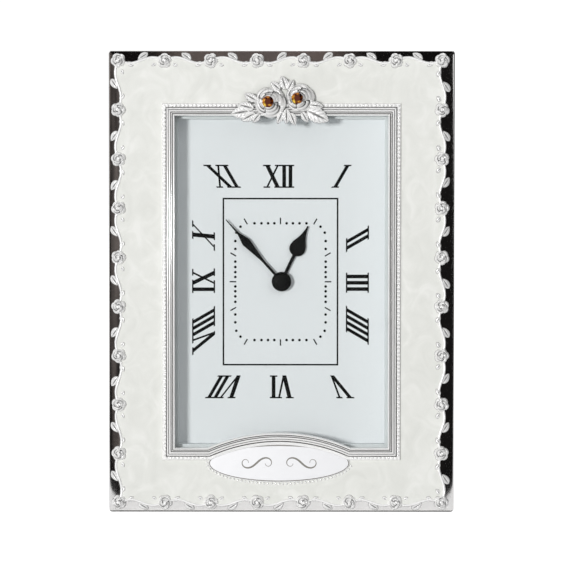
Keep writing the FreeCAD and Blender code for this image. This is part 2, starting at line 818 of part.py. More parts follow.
def make_hand_cap():
    """The domed cap over the hands' middle."""
    body = new_body("hand_cap")
    add_disc(body, "0", "middle", "cap_radius", "cap_back", "cap_back + cap_height")
    doc.recompute()
    top = value("cap_back + cap_height")
    disc = body.Tip
    rim = [f"Edge{i}" for i, edge in enumerate(disc.Shape.Edges, start=1)
           if abs(edge.CenterOfMass.z - top) < TINY]
    dome = body.newObject("PartDesign::Fillet", "dome")
    dome.Base = (disc, rim)
    dome.setExpression("Radius", cells("cap_rounding"))
    cut_disc(body, "0", "middle", "centre_arbor_radius", "cap_back - overrun", "arbor_front")


def tooth_wire(teeth, module, turn):
    """The outline of a toothed wheel about the origin."""
    pitch = 2 * math.pi / teeth
    radius = module * teeth / 2
    points = []
    for index in range(teeth):
        middle = index * pitch + math.radians(turn)
        rising = [(-w * pitch / 2, r) for w, r in zip(TOOTH_WIDTH_SHARES, TOOTH_REACH_SHARES)]
        falling = [(-angle, reach) for angle, reach in reversed(rising)]
        for angle, reach in rising + falling:
            size = radius + reach * module
            points.append(Vector(size * math.cos(middle + angle), size * math.sin(middle + angle), 0))
    return Part.makePolygon(points + points[:1])


def gear_solid(place, teeth, module, turn, low, high):
    """A toothed wheel at a place, between two levels."""
    solid = prism(tooth_wire(teeth, module, turn), low, high)
    solid.translate(Vector(place[0], place[1], 0))
    return solid


def cylinder(place, radius, low, high):
    """A plain cylinder at a place, between two levels."""
    base = Vector(place[0], place[1], value(low))
    return Part.makeCylinder(value(radius), value(high) - value(low), base)


def step_from(place, distance, turn):
    """The place at a distance and turn from another."""
    aim = math.radians(turn)
    return place[0] + distance * math.cos(aim), place[1] + distance * math.sin(aim)


def mesh_turn(place, teeth, turn, other, other_teeth):
    """The turn that puts a wheel's gap against its neighbour's tooth."""
    aim = math.degrees(math.atan2(other[1] - place[1], other[0] - place[0]))
    phase = (aim - turn) * teeth / 360.0
    back_aim = aim + 180.0
    return back_aim + (phase + 0.5) * 360.0 / other_teeth


def train_places():
    """Where each arbor of the movement stands."""
    module = value("gear_module")
    centre = (0.0, value("middle"))
    third = step_from(centre, module * (CENTRE_TEETH + PINION_TEETH) / 2, value("third_turn"))
    second = step_from(third, module * (THIRD_TEETH + PINION_TEETH) / 2, value("second_turn"))
    step = step_from(second, module * (SECOND_TEETH + PINION_TEETH) / 2, value("step_turn"))
    rotor_reach = value("rotor_module") * (STEP_TEETH + PINION_TEETH) / 2
    rotor = step_from(step, rotor_reach, value("rotor_turn"))
    minute = step_from(centre, module * (CANNON_TEETH + MINUTE_TEETH) / 2, value("minute_wheel_turn"))
    return {"centre": centre, "third": third, "second": second, "step": step, "rotor": rotor, "minute": minute}


def make_motion_work(places):
    """The cannon pinion's arbor, hour wheel and minute wheel that carry the hands."""
    centre = places["centre"]
    minute = places["minute"]
    module = value("gear_module")
    pinion_low = "minute_wheel_level - pinion_lap"
    arbor = cylinder(centre, "centre_arbor_radius", pinion_low, "arbor_front")
    pivot = cylinder(centre, "centre_pivot_radius", "pivot_back", pinion_low)
    cannon = gear_solid(centre, CANNON_TEETH, module, 0, pinion_low, "minute_wheel_level + wheel_thickness")
    new_piece("minute_arbor", arbor.fuse([pivot, cannon]))
    reach = module * (CANNON_TEETH + MINUTE_TEETH) / 2
    hour_module = 2 * reach / (HOUR_TEETH + MINUTE_PINION_TEETH)
    wheel_turn = mesh_turn(centre, CANNON_TEETH, 0, minute, MINUTE_TEETH)
    wheel = gear_solid(minute, MINUTE_TEETH, module, wheel_turn, "minute_wheel_level",
                       "minute_wheel_level + wheel_thickness")
    pinion = gear_solid(minute, MINUTE_PINION_TEETH, hour_module, 0,
                        "minute_wheel_level + wheel_thickness", "hour_wheel_level + wheel_thickness")
    staff = cylinder(minute, "arbor_radius", "case_back - knob_gap", "pivot_front")
    new_piece("minute_wheel", wheel.fuse([pinion, staff]))
    hour_turn = mesh_turn(minute, MINUTE_PINION_TEETH, 0, centre, HOUR_TEETH)
    hour_gear = gear_solid(centre, HOUR_TEETH, hour_module, hour_turn, "hour_wheel_level",
                           "hour_wheel_level + wheel_thickness")
    pipe = cylinder(centre, "pipe_radius", "hour_wheel_level", "hour_hand_back + hand_thickness")
    bore = cylinder(centre, "pipe_bore", "hour_wheel_level - overrun", "lip_front")
    new_piece("hour_wheel", hour_gear.fuse(pipe).cut(bore))


def make_train_wheel(name, place, module, wheel, level, pinion, pinion_level):
    """One wheel and its pinion on a common arbor."""
    teeth, turn = wheel
    pinion_teeth, pinion_turn = pinion
    gear = gear_solid(place, teeth, module, turn, level, f"{level} + wheel_thickness")
    small_module = value("gear_module")
    small = gear_solid(place, pinion_teeth, small_module, pinion_turn, f"{pinion_level} - pinion_lap",
                       f"{pinion_level} + pinion_length")
    staff = cylinder(place, "arbor_radius", "pivot_back", "pivot_front")
    new_piece(name, staff.fuse([gear, small]))


def make_going_train(places):
    """The friction wheel, third, second and step wheels, and the rotor that drives them."""
    module = value("gear_module")
    rotor_module = value("rotor_module")
    centre = places["centre"]
    third = places["third"]
    second = places["second"]
    step = places["step"]
    rotor = places["rotor"]
    third_turn = mesh_turn(third, PINION_TEETH, 0, centre, CENTRE_TEETH)
    wheel = gear_solid(centre, CENTRE_TEETH, module, third_turn, "centre_wheel_level",
                       "centre_wheel_level + wheel_thickness")
    bore = cylinder(centre, "centre_pivot_radius + running_clearance", "centre_wheel_level - overrun", "floor")
    new_piece("centre_wheel", wheel.cut(bore))
    washer_low = "centre_wheel_level + wheel_thickness"
    washer = cylinder(centre, "clutch_washer_radius", washer_low, f"{washer_low} + clutch_washer_thickness")
    washer_bore = cylinder(centre, "centre_pivot_radius", "centre_wheel_level", "floor")
    new_piece("clutch_washer", washer.cut(washer_bore))
    second_turn = mesh_turn(second, PINION_TEETH, 0, third, THIRD_TEETH)
    make_train_wheel("third_wheel", third, module, (THIRD_TEETH, second_turn), "third_wheel_level",
                     (PINION_TEETH, 0), "centre_wheel_level")
    step_turn = mesh_turn(step, PINION_TEETH, 0, second, SECOND_TEETH)
    make_train_wheel("second_wheel", second, module, (SECOND_TEETH, step_turn), "second_wheel_level",
                     (PINION_TEETH, 0), "third_wheel_level")
    rotor_turn = mesh_turn(rotor, PINION_TEETH, 0, step, STEP_TEETH)
    make_train_wheel("step_wheel", step, rotor_module, (STEP_TEETH, rotor_turn), "step_wheel_level",
                     (PINION_TEETH, 0), "second_wheel_level")
    magnet = cylinder(rotor, "magnet_radius", "magnet_level", "magnet_level + magnet_length")
    pinion = gear_solid(rotor, PINION_TEETH, rotor_module, 0, "magnet_level + magnet_length",
                        "step_wheel_level + pinion_length")
    staff = cylinder(rotor, "arbor_radius", "pivot_back", "pivot_front")
    new_piece("rotor", staff.fuse([magnet, pinion]))


def make_setting_knob(places):
    """The ribbed knob at the back that sets the hands."""
    minute = places["minute"]
    body = new_body("setting_knob")
    across, up = (str(number) for number in minute)
    add_disc(body, across, up, "knob_radius", "case_back - knob_gap - knob_height", "case_back - knob_gap")


def case_half(name, low, high, inner_low, inner_high):
    """One half of the movement's case with its battery bay wall."""
    body = new_body(name)
    add_block(body, "0", "middle", "case_width", "case_width", low, high)
    cut_block(body, "0", "middle", "2 * cavity_half", "2 * cavity_half", inner_low, inner_high)
    add_block(body, "0", "middle - bay_top + case_wall / 2", "2 * cavity_half + case_wall", "case_wall",
              inner_low, inner_high)
    return body


def make_case(places):
    """The front and back halves of the movement's case."""
    front = case_half("movement_case_front", "case_split", "case_front", "case_split", "cavity_front")
    add_disc(front, "0", "middle", "bush_radius", "cavity_front", "bush_front")
    cut_disc(front, "0", "middle", "pipe_radius + running_clearance", "cavity_front - overrun", "bush_front")
    back = case_half("movement_case_back", "case_back", "case_split", "cavity_back", "case_split")
    bay_height = "cavity_half - bay_top"
    cut_block(back, "0", f"middle - bay_top - ({bay_height}) / 2", "2 * cavity_half", bay_height,
              "case_back - overrun", "cavity_back + overrun / 2")
    for name, (x, y) in places.items():
        across, up = str(x), str(y)
        if name != "centre":
            cut_disc(front, across, up, "hole_radius", "cavity_front - overrun",
                     "pivot_front + running_clearance")
        radius = "centre_pivot_radius + running_clearance" if name == "centre" else "hole_radius"
        low = "case_back - overrun" if name == "minute" else "pivot_back - running_clearance"
        cut_disc(back, across, up, radius, low, "cavity_back + overrun")
    post_tops = ((stator_post(places, 0), "stator_level"), (stator_post(places, 1), "stator_level"),
                 (circuit_post(0), "circuit_level"), (circuit_post(1), "circuit_level"))
    for (across, up), top in post_tops:
        add_disc(back, across, up, "post_radius", "cavity_back", top)


def stator_post(places, index):
    """Where a post of the case carries the stator."""
    if index == 0:
        return "stator_right - stator_leg / 2", "middle + coil_axis_height - stator_bar"
    return f"{places['rotor'][0]} - magnet_radius - stator_hole_clearance", "middle + coil_axis_height"


def circuit_post(index):
    """Where a post of the case carries the circuit board."""
    across = "circuit_edge + circuit_width / 2"
    return across, f"middle + circuit_bottom + circuit_height * {CIRCUIT_POST_SHARES[index]}"


def make_mounting_pad():
    """The foam pad that sticks the movement to the dial."""
    body = new_body("mounting_pad")
    add_block(body, "0", "middle", "pad_width", "pad_width", "case_front", "board_front")
    cut_disc(body, "0", "middle", "pad_hole_radius", "case_front - overrun", "board_front")


def make_motor(places):
    """The stator plate and the coil wound on its core."""
    x, y = places["rotor"]
    hole = "magnet_radius + stator_hole_clearance"
    block_half = f"({hole} + stator_margin)"
    left = f"{x} - {block_half}"
    body = new_body("stator")
    axis = "(middle + coil_axis_height)"
    top = f"({axis} + stator_bar / 2)"
    block_low = f"({y} - {block_half})"
    add_block(body, x, f"({top} + {block_low}) / 2", f"2 * {block_half}", f"{top} - {block_low}",
              "stator_level", "stator_level + stator_thickness")
    bar_middle = f"({left} + stator_right) / 2"
    bar_length = f"stator_right - ({left})"
    for level in (axis, str(y)):
        add_block(body, bar_middle, level, bar_length, "stator_bar", "stator_level",
                  "stator_level + stator_thickness")
    add_block(body, "stator_right - stator_leg / 2", f"({axis} + {y}) / 2", "stator_leg",
              f"{axis} - {y} + stator_bar", "stator_level", "stator_level + stator_thickness")
    cut_disc(body, x, y, hole, "stator_level - overrun", "stator_level + stator_thickness")
    core_start = f"{x} + {block_half}"
    coil_middle = (value(core_start) + value("stator_right - stator_leg")) / 2
    centre = Vector(coil_middle, value(axis), value("stator_level + stator_thickness / 2"))
    length = value("coil_length")
    flange = value("bobbin_flange")
    core = value("bobbin_wall") + value("stator_bar / 2")

    def along(radius, start, end):
        base = centre + Vector(start, 0, 0)
        return Part.makeCylinder(value(radius), end - start, base, Vector(1, 0, 0))

    half = length / 2
    slot_size = (2 * half + value("overrun"), value("stator_bar + 2 * core_clearance"),
                 value("stator_thickness + 2 * core_clearance"))
    slot = Part.makeBox(*slot_size, centre - Vector(*slot_size) * 0.5)
    tube = Part.makeCylinder(core, length, centre - Vector(half, 0, 0), Vector(1, 0, 0))
    flanges = [along("bobbin_radius", -half, flange - half), along("bobbin_radius", half - flange, half)]
    new_piece("coil_bobbin", tube.fuse(flanges).cut(slot))
    winding = along("coil_radius", flange - half, half - flange)
    new_piece("coil_winding", winding.cut(tube))


def make_circuit():
    """The circuit board, its chip and the crystal can that keeps time."""
    body = new_body("circuit_board")
    centre = ("circuit_edge + circuit_width / 2", "middle + circuit_bottom + circuit_height / 2")
    add_block(body, *centre, "circuit_width", "circuit_height", "circuit_level",
              "circuit_level + circuit_thickness")
    surface = "circuit_level + circuit_thickness"
    chip = new_body("control_chip")
    add_disc(chip, centre[0], f"{centre[1]} - circuit_height / 4", "chip_radius", surface,
             f"{surface} + chip_height")
    can = new_body("quartz_can")
    sketch = new_sketch(can, surface)
    draw_rectangle(sketch, centre[0], f"{centre[1]} + circuit_height / 4", "2 * crystal_can_radius",
                   "crystal_can_length")
    pad(can, sketch, "2 * crystal_can_radius")
    doc.recompute()
    block = can.Tip
    long_edges = [f"Edge{i}" for i, edge in enumerate(block.Shape.Edges, start=1)
                  if abs(edge.Length - value("crystal_can_length")) < TINY]
    rounding = can.newObject("PartDesign::Fillet", "rounding")
    rounding.Base = (block, long_edges)
    rounding.setExpression("Radius", cells("crystal_can_radius * can_rounding_share"))


def make_battery():
    """The round cell that lies across the foot of the movement."""
    half = value("battery_length / 2")
    drop = value("middle - battery_drop")
    level = value("battery_level")
    can = Part.makeCylinder(value("battery_radius"), 2 * half, Vector(-half, drop, level), Vector(1, 0, 0))
    nub = Part.makeCylinder(value("battery_nub_radius"), value("battery_nub_length"),
                            Vector(half, drop, level), Vector(1, 0, 0))
    new_piece("battery", can.fuse(nub))


def make_contact(name, side, reach):
    """A folded contact strip between the case's wall and the battery's end."""
    body = new_body(name)
    wall = "cavity_half"
    middle = "(middle - battery_drop)"
    thickness = "contact_thickness"
    half = "contact_width / 2"
    outline = [
        (wall, f"{middle} - {half}"),
        (wall, f"{middle} + {half}"),
        (reach, f"{middle} + {half}"),
        (reach, f"{middle} - {half}"),
        (f"{reach} + {thickness}", f"{middle} - {half}"),
        (f"{reach} + {thickness}", f"{middle} + {half} - {thickness}"),
        (f"{wall} - {thickness}", f"{middle} + {half} - {thickness}"),
        (f"{wall} - {thickness}", f"{middle} - {half}"),
    ]
    sketch = new_sketch(body, "battery_level - contact_reach")
    draw_outline(sketch, [(f"{side} * ({across})", up) for across, up in outline])
    pad(body, sketch, "2 * contact_reach")


def make_turn_button(name, side, rise):
    """One turn button lying over the back board's edge."""
    across, up = button_pivot(side, rise)
    body = new_body(name)
    tail = "button_length * button_pivot_share"
    middle = f"{across} - {side} * (button_length / 2 - {tail})"
    low = "0 - button_gap - button_thickness"
    add_block(body, middle, up, "button_length", "button_width", low, "0 - button_gap")
    cut_disc(body, across, up, "button_screw_radius + running_clearance", f"{low} - overrun", "0 - button_gap")


def make_button_screws():
    """The four screws that the turn buttons swing on."""
    screws = []
    for side in (-1, 1):
        for rise in (-1, 1):
            place = button_pivot(side, rise)
            seat = "0 - 2 * button_gap - button_thickness"
            shank = cylinder(place, "button_screw_radius", seat, "button_screw_length")
            head = cylinder(place, "button_head_radius", f"{seat} - button_head_height", seat)
            screws.append(shank.fuse(head))
    new_piece("turn_button_screws", Part.Compound(screws))


def strut_turn():
    """The strut's turn about its pin from folded to open."""
    pin = point("0", "hinge_height", "pin_level")
    return Placement(pin, Rotation(Vector(1, 0, 0), value("strut_angle"))) * Placement(-pin, Rotation())


def pin_cylinder(radius, start, end):
    """A cylinder along the hinge pin."""
    base = Vector(start, value("hinge_height"), value("pin_level"))
    return Part.makeCylinder(radius, end - start, base, Vector(1, 0, 0))


def make_hinge():
    """The leaf on the back board, the pin, and the leaf on the strut."""
    half = value("hinge_width / 2")
    inner = half * value("hinge_knuckle_share")
    gap = value("hinge_gap / 2")
    knuckle = value("hinge_knuckle_radius")
    pin = value("hinge_pin_radius")
    bore = pin_cylinder(pin + value("running_clearance"), -half - gap, half + gap)
    fast_bore = pin_cylinder(pin, -half - gap, half + gap)
    plate = prism(rectangle_wire("0", "hinge_height + board_leaf_length / 2", "hinge_width",
                                 "board_leaf_length"), "board_inset - hinge_leaf_thickness", "board_inset")
    middle_gap = prism(rectangle_wire("0", "hinge_height", 2 * (inner + gap), 4 * (knuckle + gap)),
                       "0 - hinge_height", "board_front")
    outer = [pin_cylinder(knuckle, -half, -inner - gap), pin_cylinder(knuckle, inner + gap, half)]
    board_side = prism(rectangle_wire("0", "middle", "frame_width", "frame_height"), "board_inset", "floor")
    board_leaf = plate.cut(middle_gap).fuse(outer).cut([fast_bore, board_side])
    new_piece("hinge_board_leaf", board_leaf)
    new_piece("hinge_pin", pin_cylinder(pin, -half, half))
    leaf_front = "pin_level + hinge_leaf_thickness / 2"
    leaf_back = "pin_level - hinge_leaf_thickness / 2"
    leaf_outline = rectangle_wire("0", "hinge_height - strut_leaf_length / 2",
                                  "hinge_width * hinge_knuckle_share", "strut_leaf_length")
    leaf = prism(leaf_outline, leaf_back, leaf_front)
    strut_leaf = leaf.fuse(pin_cylinder(knuckle, gap - inner, inner - gap))
    strut_leaf.Placement = strut_turn()
    new_piece("hinge_strut_leaf", strut_leaf.cut(bore))


def make_strut():
    """The covered strut, cut off level with the table."""
    top = "hinge_height - hinge_knuckle_radius - hinge_gap"
    foot = value("0 - strut_spare_length")
    back = "pin_level - hinge_leaf_thickness / 2"
    half_top = value("strut_top_width / 2")
    half_foot = value("strut_foot_width / 2")
    high = value(top)
    corners = [Vector(-half_foot, foot, 0), Vector(half_foot, foot, 0), Vector(half_top, high, 0),
               Vector(-half_top, high, 0), Vector(-half_foot, foot, 0)]
    blank = prism(Part.makePolygon(corners), f"{back} - strut_thickness", back)
    blank.Placement = strut_turn()
    below = Part.makeBox(value("frame_width"), value("frame_height"), value("2 * frame_width"),
                         point("0 - half_width", "0 - frame_height", "0 - frame_width"))
    below.Placement = Placement(Vector(), Rotation(Vector(1, 0, 0), value("lean_angle")))
    new_piece("strut_leg", blank.cut(below))


def stand_up():
    """Lean every piece back and put the origin under the middle of the whole clock."""
    lean = Rotation(Vector(1, 0, 0), value("90 - lean_angle"))
    stand = doc.addObject("App::Placement", "stand")
    stand.Placement = Placement(Vector(), lean)
    stand.setExpression("Placement.Rotation.Angle", cells("90 - lean_angle"))
    for piece in subparts:
        piece.setExpression("Placement", "stand.Placement")
    doc.recompute()
    box = Part.Compound([piece.Shape for piece in subparts]).BoundBox
    stand.Placement = Placement(Vector(-box.Center.x, -box.Center.y, -box.ZMin), lean)
    doc.recompute()


def check_pieces():
    """Stop when an object failed or a piece is not a sound shape."""
    for item in doc.Objects:
        if "Invalid" in item.State or "Error" in item.State:
            raise RuntimeError(f"{item.Label} failed: {item.State}")
    for piece in subparts:
        if piece.Shape.isNull() or not piece.Shape.isValid() or not piece.Shape.Solids:
            raise RuntimeError(f"{piece.Label} has no sound shape")


def write_pieces():
    """Write one file for each piece."""
    os.makedirs("parts", exist_ok=True)
    for piece in subparts:
        piece.Shape.exportStep(f"parts/{piece.Label}.step")
        print(piece.Label, len(piece.Shape.Solids), round(piece.Shape.Volume, 1))


def build():
    """Make every piece of the clock, then stand it up and write it."""
    frame = make_front_frame()
    enamel = make_enamel_panel(frame)
    make_oval_plaque(frame, enamel)
    make_rose_garland(frame, enamel)
    make_rose_cluster(frame, enamel)
    make_glass()
    make_spacer()
    make_dial()
    make_back_board()
    make_minute_hand()
    make_hour_hand()
    make_hand_cap()
    places = train_places()
    make_motion_work(places)
    make_going_train(places)
    make_setting_knob(places)
    make_case(places)
    make_mounting_pad()
    make_motor(places)
    make_circuit()
    make_battery()
    make_contact("contact_positive", 1, "battery_length / 2 + battery_nub_length")
    make_contact("contact_negative", -1, "battery_length / 2")
    corners = ((-1, -1), (1, -1), (1, 1), (-1, 1))
    for number, (side, rise) in enumerate(corners, start=1):
        make_turn_button(f"turn_button_{number}", side, rise)
    make_button_screws()
    make_hinge()
    make_strut()
    stand_up()
    check_pieces()
    write_pieces()


build()
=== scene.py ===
# %% [markdown]
# # A photo frame clock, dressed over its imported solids
# The clock is a silver-plated picture frame with a quartz dial in the picture's place.
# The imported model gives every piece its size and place. This lesson adds what a casting
# bench, an enameller and a printer would add: petals, veins, beads, reeds, ink and shine.

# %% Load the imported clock
import json
import math
import bmesh
import bpy
import numpy as np
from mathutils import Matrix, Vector


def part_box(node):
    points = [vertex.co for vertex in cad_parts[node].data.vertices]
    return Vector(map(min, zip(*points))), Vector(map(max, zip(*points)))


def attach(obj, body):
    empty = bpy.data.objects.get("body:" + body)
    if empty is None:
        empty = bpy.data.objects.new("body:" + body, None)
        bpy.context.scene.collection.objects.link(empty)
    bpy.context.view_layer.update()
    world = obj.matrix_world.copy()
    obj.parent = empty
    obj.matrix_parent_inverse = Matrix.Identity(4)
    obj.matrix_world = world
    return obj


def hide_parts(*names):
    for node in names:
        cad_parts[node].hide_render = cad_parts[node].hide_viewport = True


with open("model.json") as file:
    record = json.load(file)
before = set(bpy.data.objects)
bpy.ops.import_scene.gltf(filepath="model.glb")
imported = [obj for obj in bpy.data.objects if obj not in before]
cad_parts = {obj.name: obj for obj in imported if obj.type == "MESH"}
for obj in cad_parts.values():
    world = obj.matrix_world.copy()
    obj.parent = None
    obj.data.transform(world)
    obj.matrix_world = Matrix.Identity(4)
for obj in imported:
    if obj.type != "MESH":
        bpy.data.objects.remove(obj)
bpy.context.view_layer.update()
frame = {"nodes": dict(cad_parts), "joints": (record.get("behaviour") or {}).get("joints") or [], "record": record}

MM = 0.001

# %% [markdown]
# ## The face's own directions
# The clock leans back on its strut, so it is easiest to draw on the face lying flat and to
# stand the drawing up afterwards. The hands turn about a line straight out of the face, so
# that joint gives the direction out, and its place gives the middle of the face.

# %% Stand a drawing up on the leaning face
hands_joint = next(j for j in frame["joints"] if j["name"] == "minute_hand_turn")
OUT = np.array(hands_joint["axis"], float)
RIGHT = np.array([1.0, 0.0, 0.0])
UP = np.cross(OUT, RIGHT)
MIDDLE = 101.5
FOOT = np.array(hands_joint["pos_m"], float) - UP * MIDDLE * MM


def on_face(points):
    """Millimetres across, up and out of the face become metres in the scene: the foot of
    the face plus each number times its own direction."""
    return FOOT + np.asarray(points, float) * MM @ np.array([RIGHT, UP, OUT])


print("out of the face:", OUT.round(4), "foot of the face:", FOOT.round(5))

# %% [markdown]
# ## From numbers to a mesh
# Almost every new piece here is a grid of points, rows by columns, joined by four-sided
# faces. A closed shape wraps its columns round. Points that fall together at a pole or a
# tip are merged, and then the faces are turned outwards.

# %% Join a grid of points into faces
def grid_faces(rows, columns, wrap_rows=False, wrap_columns=False):
    """Each face joins a point to its neighbours in the next column and the next row."""
    row = np.arange(rows if wrap_rows else rows - 1)
    column = np.arange(columns if wrap_columns else columns - 1)
    row, column = np.meshgrid(row, column, indexing="ij")
    below, beside = (row + 1) % rows, (column + 1) % columns
    corners = [row * columns + column, row * columns + beside,
               below * columns + beside, below * columns + column]
    return np.stack(corners, -1).reshape(-1, 4)


def sheet_of(points, wrap_rows=False, wrap_columns=False):
    """A grid of points, shaped rows by columns by 3, with its faces. A fourth number may
    say how dark the point is painted: patina and painted shade in creases, painted contact
    shadow at a border."""
    rows, columns, numbers = points.shape
    return points.reshape(-1, numbers), grid_faces(rows, columns, wrap_rows, wrap_columns)


# %% Make a piece, and give it to its body
def give_piece(name, mesh, materials, body, replaced):
    """A mesh becomes a piece of the clock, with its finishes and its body."""
    piece = bpy.data.objects.new(name, mesh)
    bpy.context.scene.collection.objects.link(piece)
    for material in materials:
        mesh.materials.append(material)
    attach(piece, body)
    if replaced:
        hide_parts(*replaced)
    print(name, len(mesh.polygons), "faces")


def make_piece(name, parts, materials, body, replaced=(), sharp=32.0):
    """One piece from parts of points and faces, placed on the face. A part's third item, if
    it has one, is the number of its finish. Edges that bend by more than sharp degrees stay
    crisp."""
    clouds = [np.pad(part[0], ((0, 0), (0, 4 - part[0].shape[1]))) for part in parts]
    starts = np.cumsum([0] + [len(cloud) for cloud in clouds])
    points = np.concatenate(clouds)
    faces = [face for start, part in zip(starts, parts)
             for face in (np.asarray(part[1]) + start).tolist()]
    numbers = [np.full(len(part[1]), part[2] if len(part) > 2 else 0) for part in parts]
    mesh = bpy.data.meshes.new(name)
    mesh.from_pydata(on_face(points[:, :3]).tolist(), [], faces)
    # The fourth number darkens the cast silver: patina and painted shade in creases, painted contact shadow at
    # borders.
    patina_and_shade = mesh.attributes.new("patina_and_shade", "FLOAT", "POINT")
    patina_and_shade.data.foreach_set("value", points[:, 3].astype(np.float32))
    mesh.polygons.foreach_set("material_index", np.concatenate(numbers).astype(np.int32))
    work = bmesh.new()
    work.from_mesh(mesh)
    bmesh.ops.remove_doubles(work, verts=work.verts, dist=2e-6)
    bmesh.ops.dissolve_degenerate(work, edges=work.edges, dist=1e-7)
    bmesh.ops.recalc_face_normals(work, faces=work.faces)
    work.to_mesh(mesh)
    work.free()
    mesh.polygons.foreach_set("use_smooth", np.ones(len(mesh.polygons), bool))
    mesh.set_sharp_from_angle(angle=math.radians(sharp))
    mesh.update()
    give_piece(name, mesh, materials, body, replaced)


# %% Turn a profile, and raise flat shapes
def turned(profile, centre, columns):
    """A profile of (radius, level) turned about a line out of the face: across is the
    centre plus radius times cosine, up is the centre plus radius times sine."""
    profile = np.asarray(profile, float)
    angle = np.linspace(0, 2 * np.pi, columns, endpoint=False)
    points = np.empty((len(profile), columns, 3))
    points[..., 0] = centre[0] + profile[:, :1] * np.cos(angle)
    points[..., 1] = centre[1] + profile[:, :1] * np.sin(angle)
    points[..., 2] = profile[:, 1:]
    return sheet_of(points, wrap_columns=True)


def circle(angle):
    """Across is the angle's cosine, and up is its sine."""
    return np.stack([np.cos(angle), np.sin(angle)], -1)


def square_to(ways):
    """The way a quarter turn to the left of each way, made one long."""
    aside = np.stack([-ways[:, 1], ways[:, 0]], -1)
    return aside / np.linalg.norm(aside, axis=1)[:, None]


def lifted(outline, level):
    """A flat outline set at a level."""
    return np.column_stack([outline, np.full(len(outline), level)])


def raised(outlines, low, high):
    """Flat outlines, shaped count by corners by 2, raised from one level to another: one
    part of sides and one of caps."""
    outlines = np.asarray(outlines, float)
    count, corners, _ = outlines.shape
    lower = np.concatenate([outlines, np.full((count, corners, 1), low)], -1)
    upper = np.concatenate([outlines, np.full((count, corners, 1), high)], -1)
    points = np.concatenate([lower, upper], 1).reshape(-1, 3)
    start = (np.arange(count) * 2 * corners)[:, None]
    ring = np.arange(corners)
    after = (ring + 1) % corners
    around = np.stack([ring, after, after + corners, ring + corners], -1)
    caps = np.concatenate([start + ring[::-1], start + ring + corners])
    return [(points, (start[..., None] + around).reshape(-1, 4)), (points, caps)]


# %% [markdown]
# ## Finishes
# Silver plate is all reflection, so its look comes from what stands round it and from how
# smooth it is. Enamel, card, velvet and plastic get their own small patterns. Patterns read
# Object coordinates, in metres, so a scale of 100 gives marks about a centimetre apart.

# %% Helpers for materials
def node(tree, kind, inputs, **settings):
    """A new shader node. Each input gets a constant, or a link from another's output."""
    made = tree.nodes.new("ShaderNode" + kind)
    for setting, choice in settings.items():
        setattr(made, setting, choice)
    for socket, given in inputs.items():
        if isinstance(given, bpy.types.NodeSocket):
            tree.links.new(given, made.inputs[socket])
        else:
            made.inputs[socket].default_value = given
    return made


def drive(tree, output, *sockets):
    """Link an output to sockets of the shader itself."""
    for socket in sockets:
        tree.links.new(output, tree.nodes["Principled BSDF"].inputs[socket])


def noise(material, scale, detail, stretch=(1.0, 1.0, 1.0), distortion=0.0):
    """A cloudy pattern on the piece's own coordinates, stretched along its directions."""
    tree = material.node_tree
    where = node(tree, "TexCoord", {})
    bent = node(tree, "Mapping", {"Vector": where.outputs["Object"], "Scale": stretch})
    cloud = node(tree, "TexNoise", {"Vector": bent.outputs["Vector"], "Scale": scale,
                                    "Detail": detail, "Distortion": distortion})
    return cloud.outputs["Fac"]


def paint(material, source, stops):
    """Let a pattern colour the finish: a colour for each share of the pattern."""
    tree = material.node_tree
    colors = node(tree, "ValToRGB", {"Fac": source})
    elements = colors.color_ramp.elements
    while len(elements) < len(stops):
        elements.new(0.5)
    for element, (place, color) in zip(elements, stops):
        element.position = place
        element.color = (*color, 1.0)
    drive(tree, colors.outputs["Color"], "Base Color")


def paint_by(material, attribute, stops):
    """Let one of the piece's own attributes pick the colour."""
    given = node(material.node_tree, "Attribute", {}, attribute_name=attribute)
    paint(material, given.outputs["Fac"], stops)


def finish(name, color, metallic=0.0, roughness=0.5, wear=None, grain=None, **sockets):
    """A material with its constants set on the shader's own sockets. Wear is a pattern's
    scale and detail, then the least and the most roughness. Grain is a pattern's scale and
    detail, then a depth in millimetres and a strength. Both may end with a stretch."""
    material = bpy.data.materials.new(name)
    material.use_nodes = True
    tree = material.node_tree
    sockets = {"Base Color": (*color, 1.0), "Metallic": metallic, "Roughness": roughness,
               **sockets}
    for socket, given in sockets.items():
        tree.nodes["Principled BSDF"].inputs[socket.replace("_", " ")].default_value = given
    if wear:
        scale, detail, low, high, *stretch = wear
        worn = node(tree, "MapRange", {"Value": noise(material, scale, detail, *stretch),
                                       "To Min": low, "To Max": high})
        drive(tree, worn.outputs["Result"], "Roughness")
    if grain:
        scale, detail, depth, strength, *stretch = grain
        grained = node(tree, "Bump", {"Height": noise(material, scale, detail, *stretch),
                                      "Strength": strength, "Distance": depth * MM})
        drive(tree, grained.outputs["Normal"], "Normal", "Coat Normal")
    return material


# %% [markdown]
# Silver is a mirror on the rim, brighter and softer on the cast flowers, and left dark in
# their recesses by patina and painted shade. The casting's own darkening attribute runs from
# 0 on the rubbed tops to 1 in the creases and on the thin border where a piece meets the
# ground, which is painted contact shadow. A cut crystal has foil behind it, and each
# facet's colour, dark red to gold by the way it faces, is a painted reflection.

# %% Silver, polished and cast
ALONG_X = (1.0, 14.0, 14.0)
mirror_silver = finish("mirror_silver", (0.90, 0.89, 0.88), 1.0, 0.07,
                       wear=(220, 4, 0.04, 0.11), grain=(38, 2, 0.05, 0.35))
reed_silver = finish("reed_silver", (0.98, 0.975, 0.965), 0.28, 0.16, wear=(400, 4, 0.10, 0.24))
cast_silver = finish("cast_silver", (0.96, 0.955, 0.945), 0.16, 0.30, (900, 3, 0.24, 0.38),
                     (1500, 3, 0.03, 0.4), Coat_Weight=0.35, Coat_Roughness=0.1)
